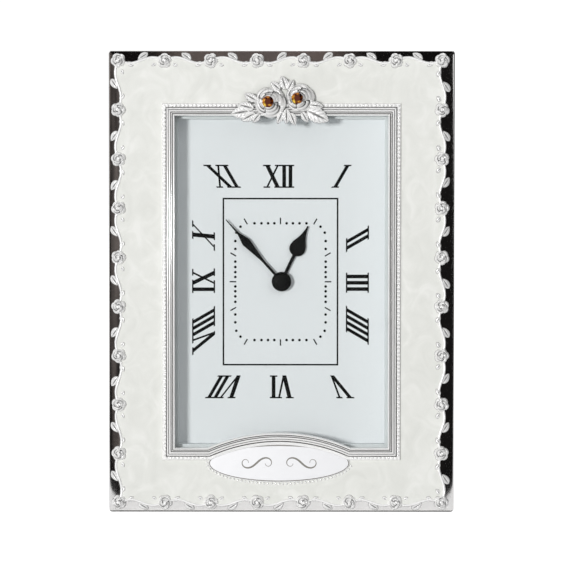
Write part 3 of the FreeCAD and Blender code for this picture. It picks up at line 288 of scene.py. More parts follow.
# Cast silver runs to nearly black where its darkening attribute is 1: patina and painted shade in the creases,
# painted contact shadow on the borders.
paint_by(cast_silver, "patina_and_shade", [(0.0, (0.985, 0.98, 0.97)), (1.0, (0.02, 0.019, 0.018))])
# The reeds' grooves get a nearly black finish: painted shade in the grooves.
shaded_groove_silver = finish("shaded_groove_silver", (0.05, 0.048, 0.046), 0.7, wear=(900, 3, 0.42, 0.6))
plaque_silver = finish("plaque_silver", (0.74, 0.74, 0.755), 1.0, 0.34,
                       wear=(300, 4, 0.24, 0.38, ALONG_X))
back_metal = finish("back_metal", (0.62, 0.62, 0.62), 1.0, 0.42, (260, 5, 0.32, 0.55),
                    (700, 4, 0.06, 0.6))
# The facets' colour, dark red to bright gold, is a painted reflection picked by the way each facet faces.
amber = finish("amber_crystal", (0.50, 0.16, 0.012), 0.55, 0.08, Coat_Weight=0.3,
               Coat_Roughness=0.02, Specular_IOR_Level=0.2)
paint_by(amber, "painted_reflection", [(0.0, (0.035, 0.004, 0.002)), (0.35, (0.16, 0.028, 0.004)),
                          (0.7, (0.62, 0.22, 0.010)), (1.0, (1.0, 0.66, 0.08))])

# %% Enamel, card, print and glass
pearl = finish("pearl_enamel", (0.80, 0.80, 0.775), 0.0, 0.30, grain=(80, 2, 0.04, 0.25),
               Coat_Weight=0.5, Coat_Roughness=0.08, Specular_IOR_Level=0.45)
paint(pearl, noise(pearl, 105, 4, (1.0, 1.0, 0.8), 1.5), [
    (0.30, (0.785, 0.790, 0.745)), (0.52, (0.832, 0.836, 0.792)), (0.70, (0.890, 0.892, 0.852))])
dial_card = finish("dial_card", (0.70, 0.735, 0.765), 0.0, 0.55, Specular_IOR_Level=0.3)
paint(dial_card, noise(dial_card, 900, 4), [(0.3, (0.797, 0.806, 0.822)),
                                            (0.7, (0.819, 0.827, 0.843))])
dial_ink = finish("dial_ink", (0.003, 0.003, 0.003), wear=(1200, 3, 0.44, 0.58),
                  Specular_IOR_Level=0.05)
spacer_white = finish("spacer_white", (0.74, 0.76, 0.77), 0.0, 0.6, grain=(1500, 3, 0.02, 0.4))
engraving = finish("engraving", (0.20, 0.19, 0.17), 0.6, 0.45, wear=(1200, 3, 0.36, 0.55))
black_enamel = finish("black_enamel", (0.004, 0.004, 0.004), 0.0, 0.28,
                      wear=(900, 3, 0.22, 0.36), Specular_IOR_Level=0.06)


def clear_pane(name):
    """Window glass: straight through, with a faint shine that grows towards the edge of
    view. Light reaches the dial through it without a lens between."""
    material = bpy.data.materials.new(name)
    material.use_nodes = True
    tree = material.node_tree
    tree.nodes.clear()
    through = node(tree, "BsdfTransparent", {"Color": (0.985, 0.995, 0.992, 1.0)})
    shine = node(tree, "BsdfGlossy", {"Roughness": 0.02})
    edge_on = node(tree, "Fresnel", {"IOR": 1.12})
    blend = node(tree, "MixShader", {0: edge_on.outputs["Fac"], 1: through.outputs[0],
                                     2: shine.outputs[0]})
    node(tree, "OutputMaterial", {"Surface": blend.outputs[0]})
    return material


clear_glass = clear_pane("clear_glass")

# %% [markdown]
# ## The back and the movement
# Nobody sees these in a shop window, but a clock is turned round to be set. The back board
# and strut are covered in velvet, and the movement is black moulded plastic with white
# wheels, brass arbors, a copper coil and a green circuit board.

# %% Velvet, plastic and the movement's metals
velvet = finish("black_velvet", (0.016, 0.016, 0.019), 0.0, 0.95, grain=(5200, 2, 0.12, 0.7),
                Sheen_Weight=0.8, Sheen_Roughness=0.4)
paint(velvet, noise(velvet, 160, 5), [(0.3, (0.010, 0.010, 0.012)), (0.7, (0.030, 0.030, 0.034))])
circuit_green = finish("circuit_green", (0.02, 0.16, 0.06), 0.0, 0.35, Coat_Weight=0.3)
paint(circuit_green, noise(circuit_green, 500, 2), [(0.45, (0.012, 0.12, 0.045)),
                                                    (0.55, (0.03, 0.21, 0.08))])
sleeve = finish("battery_sleeve", (0.02, 0.02, 0.022), 0.2, 0.26, Coat_Weight=0.5)
bright_steel = finish("bright_steel", (0.74, 0.74, 0.73), 1.0, 0.24,
                      (420, 4, 0.18, 0.38, (1, 8, 8)))
MOVEMENT = {
    "black_plastic": finish("black_plastic", (0.020, 0.020, 0.021), 0.0, 0.42,
                            (320, 4, 0.36, 0.52), (2600, 2, 0.03, 0.6)),
    "white_gear": finish("white_gear", (0.80, 0.80, 0.76), 0.0, 0.36,
                         grain=(1500, 2, 0.02, 0.4), Subsurface_Weight=0.1,
                         Subsurface_Scale=0.001),
    "brass_arbor": finish("turned_brass", (0.80, 0.58, 0.24), 1.0, 0.24,
                          (700, 3, 0.18, 0.36, (1, 1, 9))),
    "magnet_rotor": finish("magnet_rotor", (0.10, 0.10, 0.11), 0.3, 0.40, (900, 3, 0.32, 0.5)),
    "spring_steel": finish("spring_steel", (0.68, 0.68, 0.66), 1.0, 0.22,
                           (500, 3, 0.16, 0.34, (9, 1, 1))),
    "core_steel": finish("core_steel", (0.46, 0.46, 0.47), 1.0, 0.36, (380, 4, 0.28, 0.46)),
    "foam_pad": finish("foam_pad", (0.62, 0.61, 0.57), 0.0, 0.9, grain=(2400, 3, 0.15, 0.8)),
    "coil_bobbin": finish("coil_bobbin", (0.55, 0.50, 0.40), 0.0, 0.45,
                          grain=(1500, 2, 0.02, 0.4)),
    "copper_wire": finish("copper_wire", (0.72, 0.30, 0.12), 1.0, 0.28,
                          (600, 2, 0.2, 0.4, (30, 1, 1)), (900, 1, 0.06, 0.8, (9.0, 0.2, 0.2)),
                          Coat_Weight=0.4),
    "chip_resin": finish("chip_resin", (0.012, 0.012, 0.013), grain=(1800, 2, 0.03, 0.5)),
    "black_velvet": velvet, "circuit_green": circuit_green, "battery_sleeve": sleeve,
    "can_steel": bright_steel, "fastener_steel": bright_steel,
}
print("finishes inside:", len(MOVEMENT))


# %% Band the battery's sleeve: black, with a copper top at its positive end
def band_along_x(material, length, stops):
    """A colour for each share of a length in millimetres, about the clock's middle."""
    tree = material.node_tree
    where = node(tree, "TexCoord", {})
    split = node(tree, "SeparateXYZ", {"Vector": where.outputs["Object"]})
    share = node(tree, "MapRange", {"Value": split.outputs["X"], "From Min": -length / 2 * MM,
                                    "From Max": length / 2 * MM})
    paint(material, share.outputs["Result"], stops)


BATTERY_LENGTH = 51
WRAP_BLACK, WRAP_COPPER = (0.018, 0.018, 0.02), (0.62, 0.30, 0.10)
band_along_x(sleeve, BATTERY_LENGTH, [
    (0.0, (0.45, 0.45, 0.45)), (0.012, WRAP_BLACK), (0.70, WRAP_BLACK),
    (0.705, WRAP_COPPER), (0.975, WRAP_COPPER), (0.98, (0.6, 0.6, 0.6))])

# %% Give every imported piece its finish
FINISHES = {
    "silver_plate": mirror_silver, "pearl_enamel": pearl, "silver_plaque": plaque_silver,
    "antique_silver": cast_silver, "amber_crystal": amber, "clear_glass": clear_glass,
    "white_spacer": spacer_white, "dial_card": dial_card, "black_enamel": black_enamel,
    **MOVEMENT}
slot_of = {part["node"]: part["material_slot"] for part in frame["record"]["subparts"]}
for node_name, cad_object in frame["nodes"].items():
    for material_slot in cad_object.material_slots:
        material_slot.material = FINISHES[slot_of[node_name]]
print("finishes given:", len(slot_of))

# %% [markdown]
# ## The casting: polished rim and reeded moulding
# The rim is one profile carried round the frame's outline. Each profile point is a whole
# outline of its own, drawn in by its distance from the edge, so the corners mitre by
# themselves. The bevel is what shows: it looks past the camera into the dark of the studio.

# %% Carry the rim's profile round the frame
HALF_WIDTH, HALF_HEIGHT = 76.0, 101.5
CORNER_RADIUS = 1.4
BEVEL_LOW, BEVEL_HIGH, BEVEL_INSET, BEVEL_SWELL = 8.7, 12.15, 6.9, 0.10
EDGE_ROUND, EDGE_LIFT = 0.9, 0.25
EDGE_STEPS, BEVEL_STEPS = 6, 7
CORNER_DRAWN_IN, LEAST_CORNER = 0.2, 0.15
RIM_BACK = [(7.2, 11.3), (7.2, 9.2), (2.4, 9.2), (2.4, 0.0)]
ENAMEL_LEVEL, FLOOR_LEVEL = 12.2, 11.2


def box_outline(half_width, half_height, radius, arc=7):
    """A rectangle about the middle of the face with round corners: each corner's centre
    plus the radius times the cosine and sine of an angle running through its quarter."""
    quarter = np.linspace(0, np.pi / 2, arc)
    angle = (np.arange(4)[:, None] * np.pi / 2 + quarter).ravel()
    side = np.repeat([1, -1, -1, 1], arc)
    rise = np.repeat([1, 1, -1, -1], arc)
    across = side * (half_width - radius) + radius * np.cos(angle)
    up = MIDDLE + rise * (half_height - radius) + radius * np.sin(angle)
    return np.stack([across, up], -1)


def carried_box(profile, half_width, half_height, radius):
    """A closed profile of (inset, level) carried round a box outline."""
    rings = [lifted(box_outline(half_width - inset, half_height - inset,
                                max(radius - inset * CORNER_DRAWN_IN, LEAST_CORNER)), level)
             for inset, level in profile]
    return sheet_of(np.array(rings), wrap_rows=True, wrap_columns=True)


bevel_angle = math.atan2(BEVEL_HIGH - BEVEL_LOW, BEVEL_INSET)
rounded_edge = [(EDGE_ROUND - EDGE_ROUND * math.cos(turn),
                 BEVEL_LOW - EDGE_ROUND + EDGE_ROUND * math.sin(turn) + EDGE_LIFT)
                for turn in np.linspace(0, np.pi / 2 - bevel_angle, EDGE_STEPS)]
edge_inset, edge_level = rounded_edge[-1]
bevel = [(edge_inset + way * (BEVEL_INSET - edge_inset),
          edge_level + way * (BEVEL_HIGH - edge_level) + BEVEL_SWELL * math.sin(math.pi * way))
         for way in np.linspace(0.0, 1.0, BEVEL_STEPS)[1:]]
RIM_PROFILE = [(0.0, 0.0)] + rounded_edge + bevel + RIM_BACK
rim_part = carried_box(RIM_PROFILE, HALF_WIDTH, HALF_HEIGHT, CORNER_RADIUS)
print("rim profile points:", len(RIM_PROFILE))

# %% [markdown]
# The moulding follows the window's edge, which arches up over the plaque. Moving that edge
# outwards makes the sides longer and the arch's circle smaller about the same centre, so
# one formula gives every reed its own line.

# %% Carry the reeds round the window
WINDOW_HALF, WINDOW_LOW, WINDOW_HIGH = 46.75, 28.75, 174.25
ARCH_SHIFT, ARCH_SPAN, ARCH_RISE = -1.0, 62.4, 6.6
ARCH_RADIUS = ((ARCH_SPAN / 2) ** 2 + ARCH_RISE ** 2) / (2 * ARCH_RISE)
ARCH_CENTRE = WINDOW_LOW + ARCH_RISE - ARCH_RADIUS
ARCH_POINTS = 41


def window_outline(offset):
    """The window's edge moved outwards: an arc over the plaque, then the four corners."""
    radius = ARCH_RADIUS - offset
    low, high, half = WINDOW_LOW - offset, WINDOW_HIGH + offset, WINDOW_HALF + offset
    half_span = math.sqrt(radius ** 2 - (low - ARCH_CENTRE) ** 2)
    turn = np.linspace(-1, 1, ARCH_POINTS) * math.asin(half_span / radius)
    arch = np.stack([ARCH_SHIFT + radius * np.sin(turn), ARCH_CENTRE + radius * np.cos(turn)], -1)
    return np.concatenate([arch, [(half, low), (half, high), (-half, high), (-half, low)]])


LIP_LEVEL, GLASS_LEVEL, LEDGE_LEVEL = 15.6, 10.62, 13.35
REEDS = ((0.0, 0.72, 0.34), (1.02, 1.42, 0.20), (1.72, 2.62, 0.34), (2.80, 3.55, 0.28))
REED_POINTS = 7
GROOVE_DEPTH, GROOVE_MARGIN, LAST_GROOVE = 0.45, 0.02, 0.3


def reed_profile():
    """Half-round reeds on a slope, with a square groove after each: the slope's level plus
    the reed's rise times the square root of one minus the squared distance from its
    middle."""
    slope = (LIP_LEVEL - REEDS[0][2] - 0.02, LEDGE_LEVEL + 0.1)
    share = np.linspace(-1, 1, REED_POINTS)
    profile = []
    for left, right, rise in REEDS:
        offset = (left + right) / 2 + share * (right - left) / 2
        base = np.interp(offset, (0.0, REEDS[-1][1]), slope)
        height = base + rise * np.sqrt(np.maximum(1 - share ** 2, 0))
        further = min([reed[0] for reed in REEDS if reed[0] > right], default=right + LAST_GROOVE)
        profile += [np.stack([offset, height], -1),
                    [(right + GROOVE_MARGIN, base[-1] - GROOVE_DEPTH)],
                    [(further - GROOVE_MARGIN, base[-1] - GROOVE_DEPTH)]]
    return np.concatenate(profile)


MOULDING_PROFILE = [(0.0, GLASS_LEVEL)] + reed_profile().tolist() + [
    (3.88, LEDGE_LEVEL), (5.05, LEDGE_LEVEL - 0.1), (5.3, LEDGE_LEVEL - 0.35),
    (5.5, ENAMEL_LEVEL), (5.5, FLOOR_LEVEL), (23.2, FLOOR_LEVEL), (23.2, GLASS_LEVEL)]
rings = np.array([lifted(window_outline(offset), level) for offset, level in MOULDING_PROFILE])
moulding_points, moulding_faces = sheet_of(rings, wrap_rows=True, wrap_columns=True)
profile_step = np.repeat(np.arange(len(MOULDING_PROFILE)), rings.shape[1])
reed_step = REED_POINTS + 2
among_reeds = (profile_step >= 1) & (profile_step <= len(REEDS) * reed_step)
in_groove = among_reeds & ((profile_step - 1) % reed_step >= REED_POINTS - 1)
print("moulding profile points:", len(MOULDING_PROFILE))

# %% Tray for the glass, lugs for the turn buttons
TRAY_HALVES, TRAY_CORNER, TRAY_WALL, TRAY_LOW = (53.8, 79.2), 1.0, 2.6, 2.8
LUG_ASIDE, LUG_RISE, LUG_WIDTH, LUG_HEIGHT, LUG_TOP = 69.2, 56.5, 8.9, 20.0, 9.25
tray_part = carried_box([(0.0, TRAY_LOW), (0.0, GLASS_LEVEL), (TRAY_WALL, GLASS_LEVEL),
                         (TRAY_WALL, TRAY_LOW)], *TRAY_HALVES, TRAY_CORNER)


def lug(across, up, edge=0.4):
    """A block with a small chamfer at its lower edge: three outlines one above another."""
    sides = np.array([(-1, -1), (1, -1), (1, 1), (-1, 1)], float)
    rings = [lifted(np.stack([across + sides[:, 0] * (LUG_WIDTH / 2 - inset),
                              up + sides[:, 1] * (LUG_HEIGHT / 2 - inset)], -1), level)
             for inset, level in ((edge, 0.0), (0.0, edge), (0.0, LUG_TOP))]
    points, faces = sheet_of(np.array(rings), wrap_columns=True)
    return [(points, faces, 2), (points, np.array([[3, 2, 1, 0], [8, 9, 10, 11]]), 2)]


# The grooves' faces take the nearly black finish, which is painted shade.
casting = [rim_part, (moulding_points, moulding_faces[~in_groove], 1),
           (moulding_points, moulding_faces[in_groove], 3), (*tray_part, 2)]
for side in (-1, 1):
    for rise in (-1, 1):
        casting += lug(side * LUG_ASIDE, MIDDLE + rise * LUG_RISE)
make_piece("frame_casting", casting, [mirror_silver, reed_silver, back_metal, shaded_groove_silver],
           "clock", ["front_frame"])

# %% [markdown]
# The glass lies on the spacer. It is drawn a hair thinner than the real pane, so that its
# two faces never share a place with the metal or the card they touch.

# %% The pane
GLASS_HALVES, GLASS_CORNER = (50.7, 76.1), 0.3
GLASS_LOW, GLASS_HIGH = 8.64, 10.56
pane = raised([box_outline(*GLASS_HALVES, GLASS_CORNER, 3)], GLASS_LOW, GLASS_HIGH)
make_piece("window_glass", pane, [clear_glass], "clock", ["glass_pane"])

# %% [markdown]
# ## The beads
# A row of small beads runs outside the reeds, and another round the lower half of the
# plaque. Over the plaque a plain wire takes their place. Hundreds of beads need few faces
# each, so one bead is a dome of a few dozen.

# %% Space beads along a line
def evenly(path, count=None, spacing=None):
    """Points at even steps along a line, for a count or a spacing: the length walked so far
    is worked out at every corner, and each place is read between the corners."""
    walked = np.concatenate([[0], np.cumsum(np.linalg.norm(np.diff(path, axis=0), axis=1))])
    count = count or int(round(walked[-1] / spacing))
    step = np.linspace(0, walked[-1], count, endpoint=False)
    return np.stack([np.interp(step, walked, path[:, 0]), np.interp(step, walked, path[:, 1])], -1)


def beads(centres, radius, level, rings=4, columns=8):
    """A dome at each centre: rings at angles from the top down, then a foot below."""
    fall = np.linspace(0, np.pi / 2, rings)
    profile = np.column_stack([radius * np.sin(fall), level + radius * np.cos(fall)])
    profile = np.concatenate([profile, [(radius * 0.9, level - radius), (0.0, level - radius)]])
    points, faces = turned(profile, (0.0, 0.0), columns)
    everywhere = (lifted(centres, 0.0)[:, None] + points[None]).reshape(-1, 3)
    starts = np.arange(len(centres))[:, None, None] * len(points)
    return everywhere, (starts + faces[None]).reshape(-1, 4)


def arch_wire(offset, half_width, level, columns=9):
    """A half-round wire along the arch: the arch's line moved by the half width times a
    cosine and raised by its sine. Both ends run out to a point."""
    turn = np.linspace(0, np.pi, columns)
    reach = np.concatenate([[1.0], np.cos(turn), [-1.0]]) * half_width
    rise = np.concatenate([[-1.0], np.sin(turn), [-1.0]]) * half_width
    points = np.stack([lifted(window_outline(offset + aside)[:ARCH_POINTS], level + up)
                       for aside, up in zip(reach, rise)], 1)
    points[[0, -1]] = points[[0, -1]].mean(axis=1, keepdims=True)
    return sheet_of(points, wrap_columns=True)


# %% Beads by the moulding and the plaque, and a wire over it
PLAQUE_CENTRE, PLAQUE_HALVES = (-1.0, 21.9), (31.05, 8.3)
BEAD_LINE, BEAD_SPACING, BEAD_RADIUS = 4.4, 1.74, 0.60
SMALL_BEAD_ASIDE, SMALL_BEAD_SPACING, SMALL_BEAD_RADIUS = 0.75, 1.66, 0.52
WIRE_LINE, WIRE_HALF, WIRE_REACH = BEAD_LINE - 0.1, 0.42, 30.6


def oval(turn, half_width, half_height):
    """A line about the plaque's middle: half the width times a cosine, half the height
    times a sine."""
    return PLAQUE_CENTRE + np.array([half_width, half_height]) * circle(turn)


bead_path = window_outline(BEAD_LINE)
moulding_beads = evenly(np.concatenate([bead_path, bead_path[:1]]), spacing=BEAD_SPACING)
from_arch = np.abs(moulding_beads[:, 0] - ARCH_SHIFT)
moulding_beads = moulding_beads[(from_arch >= WIRE_REACH) | (moulding_beads[:, 1] >= MIDDLE)]
lower_turn = np.linspace(np.pi * 0.985, np.pi * 2.015, 120)
plaque_beads = evenly(oval(lower_turn, *(half + SMALL_BEAD_ASIDE for half in PLAQUE_HALVES)),
                      spacing=SMALL_BEAD_SPACING)
make_piece("moulding_beads", [beads(moulding_beads, BEAD_RADIUS, LEDGE_LEVEL),
                              beads(plaque_beads, SMALL_BEAD_RADIUS, ENAMEL_LEVEL + 0.1),
                              arch_wire(WIRE_LINE, WIRE_HALF, LEDGE_LEVEL)],
           [reed_silver], "clock")
print("beads:", len(moulding_beads), "and", len(plaque_beads))

# %% [markdown]
# ## The vine of roses
# The garland stands on the seam of rim and enamel. Its vine swings out and in once between
# two roses and dams the enamel, so the enamel's edge follows the vine. Everything on the
# garland is worked out as a height above the ground it lies on.

# %% Where the roses stand and the vine runs
INSET, INSET_RIGHT = 4.6, 5.7
ACROSS, RISING = 8, 10
SWING, VINE_STEPS, VINE_HALF, VINE_FOOT = 1.25, 14, 0.46, 11.6
VINE_LIFT, VINE_WAVE, WAVE_STEP = 0.05, 0.12, 0.9
DRAFT = 0.2


def ground(points):
    """The level under the garland: the bevel's slope near the rim, then the enamel."""
    inset = np.minimum(HALF_WIDTH - np.abs(points[..., 0]),
                       HALF_HEIGHT - np.abs(points[..., 1] - MIDDLE))
    return np.interp(inset, (0.0, BEVEL_INSET, BEVEL_INSET + 0.1),
                     (BEVEL_LOW, BEVEL_HIGH, ENAMEL_LEVEL))


half_up = HALF_HEIGHT - INSET
row = np.linspace(INSET - HALF_WIDTH, HALF_WIDTH - INSET_RIGHT, ACROSS)
column = np.linspace(MIDDLE - half_up, MIDDLE + half_up, RISING)
rose_places = np.concatenate([
    np.column_stack([row[:-1], np.full(ACROSS - 1, column[0])]),
    np.column_stack([np.full(RISING - 1, row[-1]), column[:-1]]),
    np.column_stack([row[:0:-1], np.full(ACROSS - 1, column[-1])]),
    np.column_stack([np.full(RISING - 1, row[0]), column[:0:-1]])])
corner_places = rose_places[[0, ACROSS - 1, ACROSS + RISING - 2, 2 * ACROSS + RISING - 3]]
heading = np.roll(rose_places, -1, axis=0) - rose_places
inward = square_to(heading)
flip = np.where((np.arange(len(rose_places)) // 2) % 2 == 0, 1.0, -1.0)
between = np.linspace(0, 1, VINE_STEPS, endpoint=False)
swing = SWING * np.sin(2 * np.pi * between)[None, :] * flip[:, None]
vine_path = (rose_places[:, None] + between[None, :, None] * heading[:, None]
             + swing[..., None] * inward[:, None]).reshape(-1, 2)
print("roses:", len(rose_places), "vine points:", len(vine_path))

# %% Raise the vine as a round-topped wall
def wall_along(path, half_width, top, foot, columns=7):
    """A closed line given a round top: across the line a half circle, and straight sides
    down to a foot below."""
    aside = square_to(np.roll(path, -1, axis=0) - np.roll(path, 1, axis=0))
    turn = np.linspace(0, np.pi, columns)
    reach = np.concatenate([[half_width + DRAFT], np.cos(turn) * half_width,
                            [-half_width - DRAFT]])
    flat = path[:, None] + reach[None, :, None] * aside[:, None]
    level = np.empty(flat.shape[:2] + (2,))
    level[:, 1:-1, 0] = top[:, None] + np.sin(turn) * half_width
    level[:, [0, -1], 0] = foot
    level[..., 1] = np.abs(reach) > half_width
    return sheet_of(np.concatenate([flat, level], -1), wrap_rows=True, wrap_columns=True)


wave = np.sin(np.arange(len(vine_path)) * WAVE_STEP)
vine_top = ENAMEL_LEVEL + VINE_LIFT + VINE_WAVE * wave
garland = [wall_along(vine_path, VINE_HALF, vine_top, VINE_FOOT)]
print("vine faces:", len(garland[0][1]))

# %% [markdown]
# A cast rose has no undercuts, so it is a height over a disc. Each ring of petals is a step
# whose edge bulges outwards at the middle of a petal and draws in between two. The edge
# curls up a little, and each petal starts high and ends low, so it seems to tuck under the
# next one.

# %% A rose as a height over a disc
CRYSTAL_LEVEL, CRYSTAL_SUNK = 17.9, 0.2
SINK_FROM, SINK_TO, SINK = 177.0, 183.0, 2.2
RING_TURN, TIGHTENING = 0.83, 0.17


def over_moulding(up, level):
    """The ornament lies on the moulding's lip, and sinks to the enamel above it."""
    return level - np.interp(up, (SINK_FROM, SINK_TO), (0.0, SINK))


def rose_height(share, angle, spin, petal_rings, bulge, soft, curl):
    """Sum over the petal rings of a smooth step at the ring's edge, plus a lip just inside
    it, as high as the curl says, and a slope round each petal. Returns the height, the
    reach of the rim, and the darkening at the foot of each step and at each petal's seam,
    which is patina and painted shade."""
    height = np.zeros(np.broadcast(share, angle).shape)
    patina_and_shade = np.zeros(height.shape)
    for number, (edge, petals, rise) in enumerate(petal_rings):
        phase = (angle - spin - number * RING_TURN) * petals / (2 * np.pi)
        way = phase % 1.0
        reach = edge * (1 - bulge + bulge * np.abs(np.sin(np.pi * phase)) ** 0.55)
        if number:
            reach = reach * (1.07 - TIGHTENING * way)
        else:
            outer = reach
        radius = share * outer
        tuck = 0.88 + 0.12 * np.cos(np.pi * way)
        step = 1 / (1 + np.exp(np.clip((radius - reach + soft) / (soft * 0.6), -30, 30)))
        lip = np.exp(-((radius - reach + 3.2 * soft) / (1.9 * soft)) ** 2)
        height += rise * tuck * (step + curl * lip * step)
        if number:
            foot = np.exp(-((radius - reach - 0.5 * soft) / (1.15 * soft)) ** 2)
            on_petal = (radius < reach) * (radius > 0.55 * reach)
            seam = 0.8 * np.exp(-((way - 0.96) / 0.05) ** 2) * on_petal
            patina_and_shade = np.maximum(patina_and_shade, np.maximum(foot * (0.2 + 1.2 * way ** 1.3), seam))
    return height, outer, np.clip(patina_and_shade, 0, 1)


def rose(centre, radius, levels, spin, form, grid, heart=None, seat=0.0):
    """The disc's points from the heart to the rim with their heights, a thin border on the
    ground painted dark as contact shadow, then a wall down to the foot. The levels are low,
    high and foot. The heart may lie off the middle, with a flat seat for a crystal."""
    low, high, foot = levels
    heart = centre if heart is None else heart
    share = np.linspace(0, 1, grid[0])[:, None]
    angle = np.linspace(0, 2 * np.pi, grid[1], endpoint=False)[None, :]
    height, outer, patina_and_shade = rose_height(share, angle, spin, *form)
    reach = share * outer * radius
    drift = 1 - share ** 1.5
    across = centre[0] + drift * (heart[0] - centre[0]) + reach * np.cos(angle)
    up = centre[1] + drift * (heart[1] - centre[1]) + reach * np.sin(angle)
    low = low if seat == 0 else over_moulding(up, low)
    level = low + (high - low) * np.minimum(height / sum(ring[2] for ring in form[0]), 1.0)
    level = np.where(reach < seat, CRYSTAL_LEVEL - CRYSTAL_SUNK, level)
    points = np.stack([across, up, level, patina_and_shade], -1)
    rim = points[-1].copy()
    rim[:, :2] += DRAFT * circle(angle[0])
    rim[:, 2] = ground(rim[:, :2]) + 0.05 if seat == 0 else low[0] - 1.0
    # The border on the ground is painted fully dark: painted contact shadow.
    rim[:, 3] = 1.0
    base = rim.copy()
    base[:, 2] = foot
    sole = np.broadcast_to([centre[0], centre[1], foot, 1.0], rim.shape)
    return sheet_of(np.concatenate([points, rim[None], base[None], sole[None]]), wrap_columns=True)


# %% A leaf as a height over a pointed oval
RIBS = 5


def leaf(root, turn, length, width, rise, base=None, foot=0.5, grid=(15, 9), toothed=0.0,
         veins=0.2):
    """Half the width times a bent sine along the leaf. The height falls from the middle to the
    edge, with a sunk midrib and side ribs slanting forward, both darkened by patina and
    painted shade. A thin border painted dark as contact shadow lies on the ground, and a flat
    sole below closes it."""
    rows, across = grid
    way = np.linspace(0, 1, rows)[:, None]
    aside = np.linspace(-1, 1, across)[None, :]
    off = np.abs(aside)
    arc = np.sin(np.pi * way)
    teeth = 1 + toothed * np.abs(np.sin(np.pi * way * RIBS))
    half = width / 2 * np.sin(np.pi * way ** 0.85) ** 0.8 * teeth
    rib = np.cos(2 * np.pi * (way * RIBS - off * 1.3))
    height = rise * (0.45 + 0.55 * arc) * (
        1 - 0.35 * aside ** 2 - 0.5 * np.exp(-(aside / 0.16) ** 2) + 0.24 * rib * off)
    # The midrib and the veins are darkened: patina and painted shade.
    patina_and_shade = 0.95 * np.exp(-(aside / 0.13) ** 2) * arc ** 0.5 + (
        veins * np.clip(-rib, 0, 1) ** 3 * off ** 0.5 * (off < 0.8))

    def edged(field, border, sole):
        """A field over the leaf, then its border, its sole and the border's other side."""
        ends = np.tile([border[0], sole[0], sole[1], border[1]], (rows, 1))
        return np.concatenate([np.broadcast_to(field, (rows, across)), ends], 1)

    border = -0.15 if base is None else -foot / 2
    # The border and the sole are painted fully dark: painted contact shadow.
    patina_and_shade = edged(np.clip(patina_and_shade, 0, 1), (1.0, 1.0), (1.0, 1.0))
    height = edged(height, (border, border), (-foot, -foot))
    aside = edged(aside, (1.0, -1.0), (1.0, -1.0))
    draft = edged(0.0, (DRAFT, -DRAFT), (DRAFT, -DRAFT))
    aim = math.radians(turn)
    x = (way - 0.5) * (length + 2 * np.abs(draft)) + length / 2
    y = aside * half + draft * arc ** 0.3
    flat = np.stack([root[0] + x * math.cos(aim) - y * math.sin(aim),
                     root[1] + x * math.sin(aim) + y * math.cos(aim)], -1)
    level = (ground(flat) + 0.2 if base is None else base) + height
    points = np.concatenate([flat, level[..., None], patina_and_shade[..., None]], -1)
    return sheet_of(points, wrap_columns=True)


# %% Set the roses and leaves along the vine
SMALL_ROSE = (((1.00, 5, 0.36), (0.66, 3, 0.34), (0.34, 2, 0.30)), 0.20, 0.058, 0.75)
SMALL_RADIUS, SMALL_LEVELS, SMALL_GRID, SPIN_STEP = 3.2, (12.3, 14.45, 9.4), (20, 50), 1.7
VINE_LEAVES = ((0.53, -1.85, -34, 5.0, 2.9), (0.26, 1.5, 32, 3.0, 1.7), (0.78, 1.4, -40, 2.7, 1.6))
LEAF_RISE = 0.34
for number, place in enumerate(rose_places):
    garland.append(rose(place, SMALL_RADIUS, SMALL_LEVELS, number * SPIN_STEP, SMALL_ROSE,
                        SMALL_GRID))
for place, step, side, sign in zip(rose_places, heading, inward, flip):
    for way, aside, lean, length, width in VINE_LEAVES:
        turn = math.degrees(math.atan2(step[1], step[0])) + sign * lean
        aim = np.array([math.cos(math.radians(turn)), math.sin(math.radians(turn))])
        root = place + step * (way if sign > 0 else 1 - way) + side * aside - aim * length / 2
        garland.append(leaf(root, turn, length, width, LEAF_RISE * width))
make_piece("rose_garland_cast", garland, [cast_silver], "clock",
           ["rose_garland"], sharp=60)

# %% [markdown]
# ## The enamel
# Pearl enamel is poured into the field and dammed by the vine and the moulding, so it is
# one flat sheet between those two lines, a little raised where it clings to them.

# %% Pour the enamel between vine and moulding
ENAMEL_EDGE, ENAMEL_STEPS = 5.2, 120
ENAMEL_PROFILE = ((0.0, 11.0), (0.0, 12.26), (0.02, 12.22), (0.06, 12.2), (0.2, 12.2),
                  (0.4, 12.2), (0.6, 12.2), (0.8, 12.2), (0.94, 12.2), (0.98, 12.22),
                  (1.0, 12.26), (1.0, 11.0))


def by_sides(path, corners):
    """A closed line cut at four corners, each side shared into equal steps."""
    cuts = [int(np.argmin(np.linalg.norm(path - corner, axis=1))) for corner in corners]
    twice = np.concatenate([path, path])
    return np.concatenate([evenly(twice[start:end + 1 + (end < start) * len(path)], ENAMEL_STEPS)
                           for start, end in zip(cuts, cuts[1:] + cuts[:1])])


corner_signs = np.array([(-1, -1), (1, -1), (1, 1), (-1, 1)], float)
outer_line = by_sides(vine_path, corner_places)
frame_line = np.roll(window_outline(ENAMEL_EDGE), 1, axis=0)
inner_corners = corner_signs * (WINDOW_HALF + ENAMEL_EDGE,
                                (WINDOW_HIGH - WINDOW_LOW) / 2 + ENAMEL_EDGE) + (0, MIDDLE)
inner_line = by_sides(frame_line, inner_corners)
rows = np.array([lifted(outer_line * (1 - mix) + inner_line * mix, level)
                 for mix, level in ENAMEL_PROFILE])
make_piece("poured_enamel", [sheet_of(rows, wrap_rows=True, wrap_columns=True)], [pearl],
           "clock", ["enamel_panel"])

# %% [markdown]
# ## The ornament of two roses
# Two larger roses with crystals in their hearts sit over the top of the moulding, with
# leaves tucked under them. They use the same two heights, with more petals and more points.

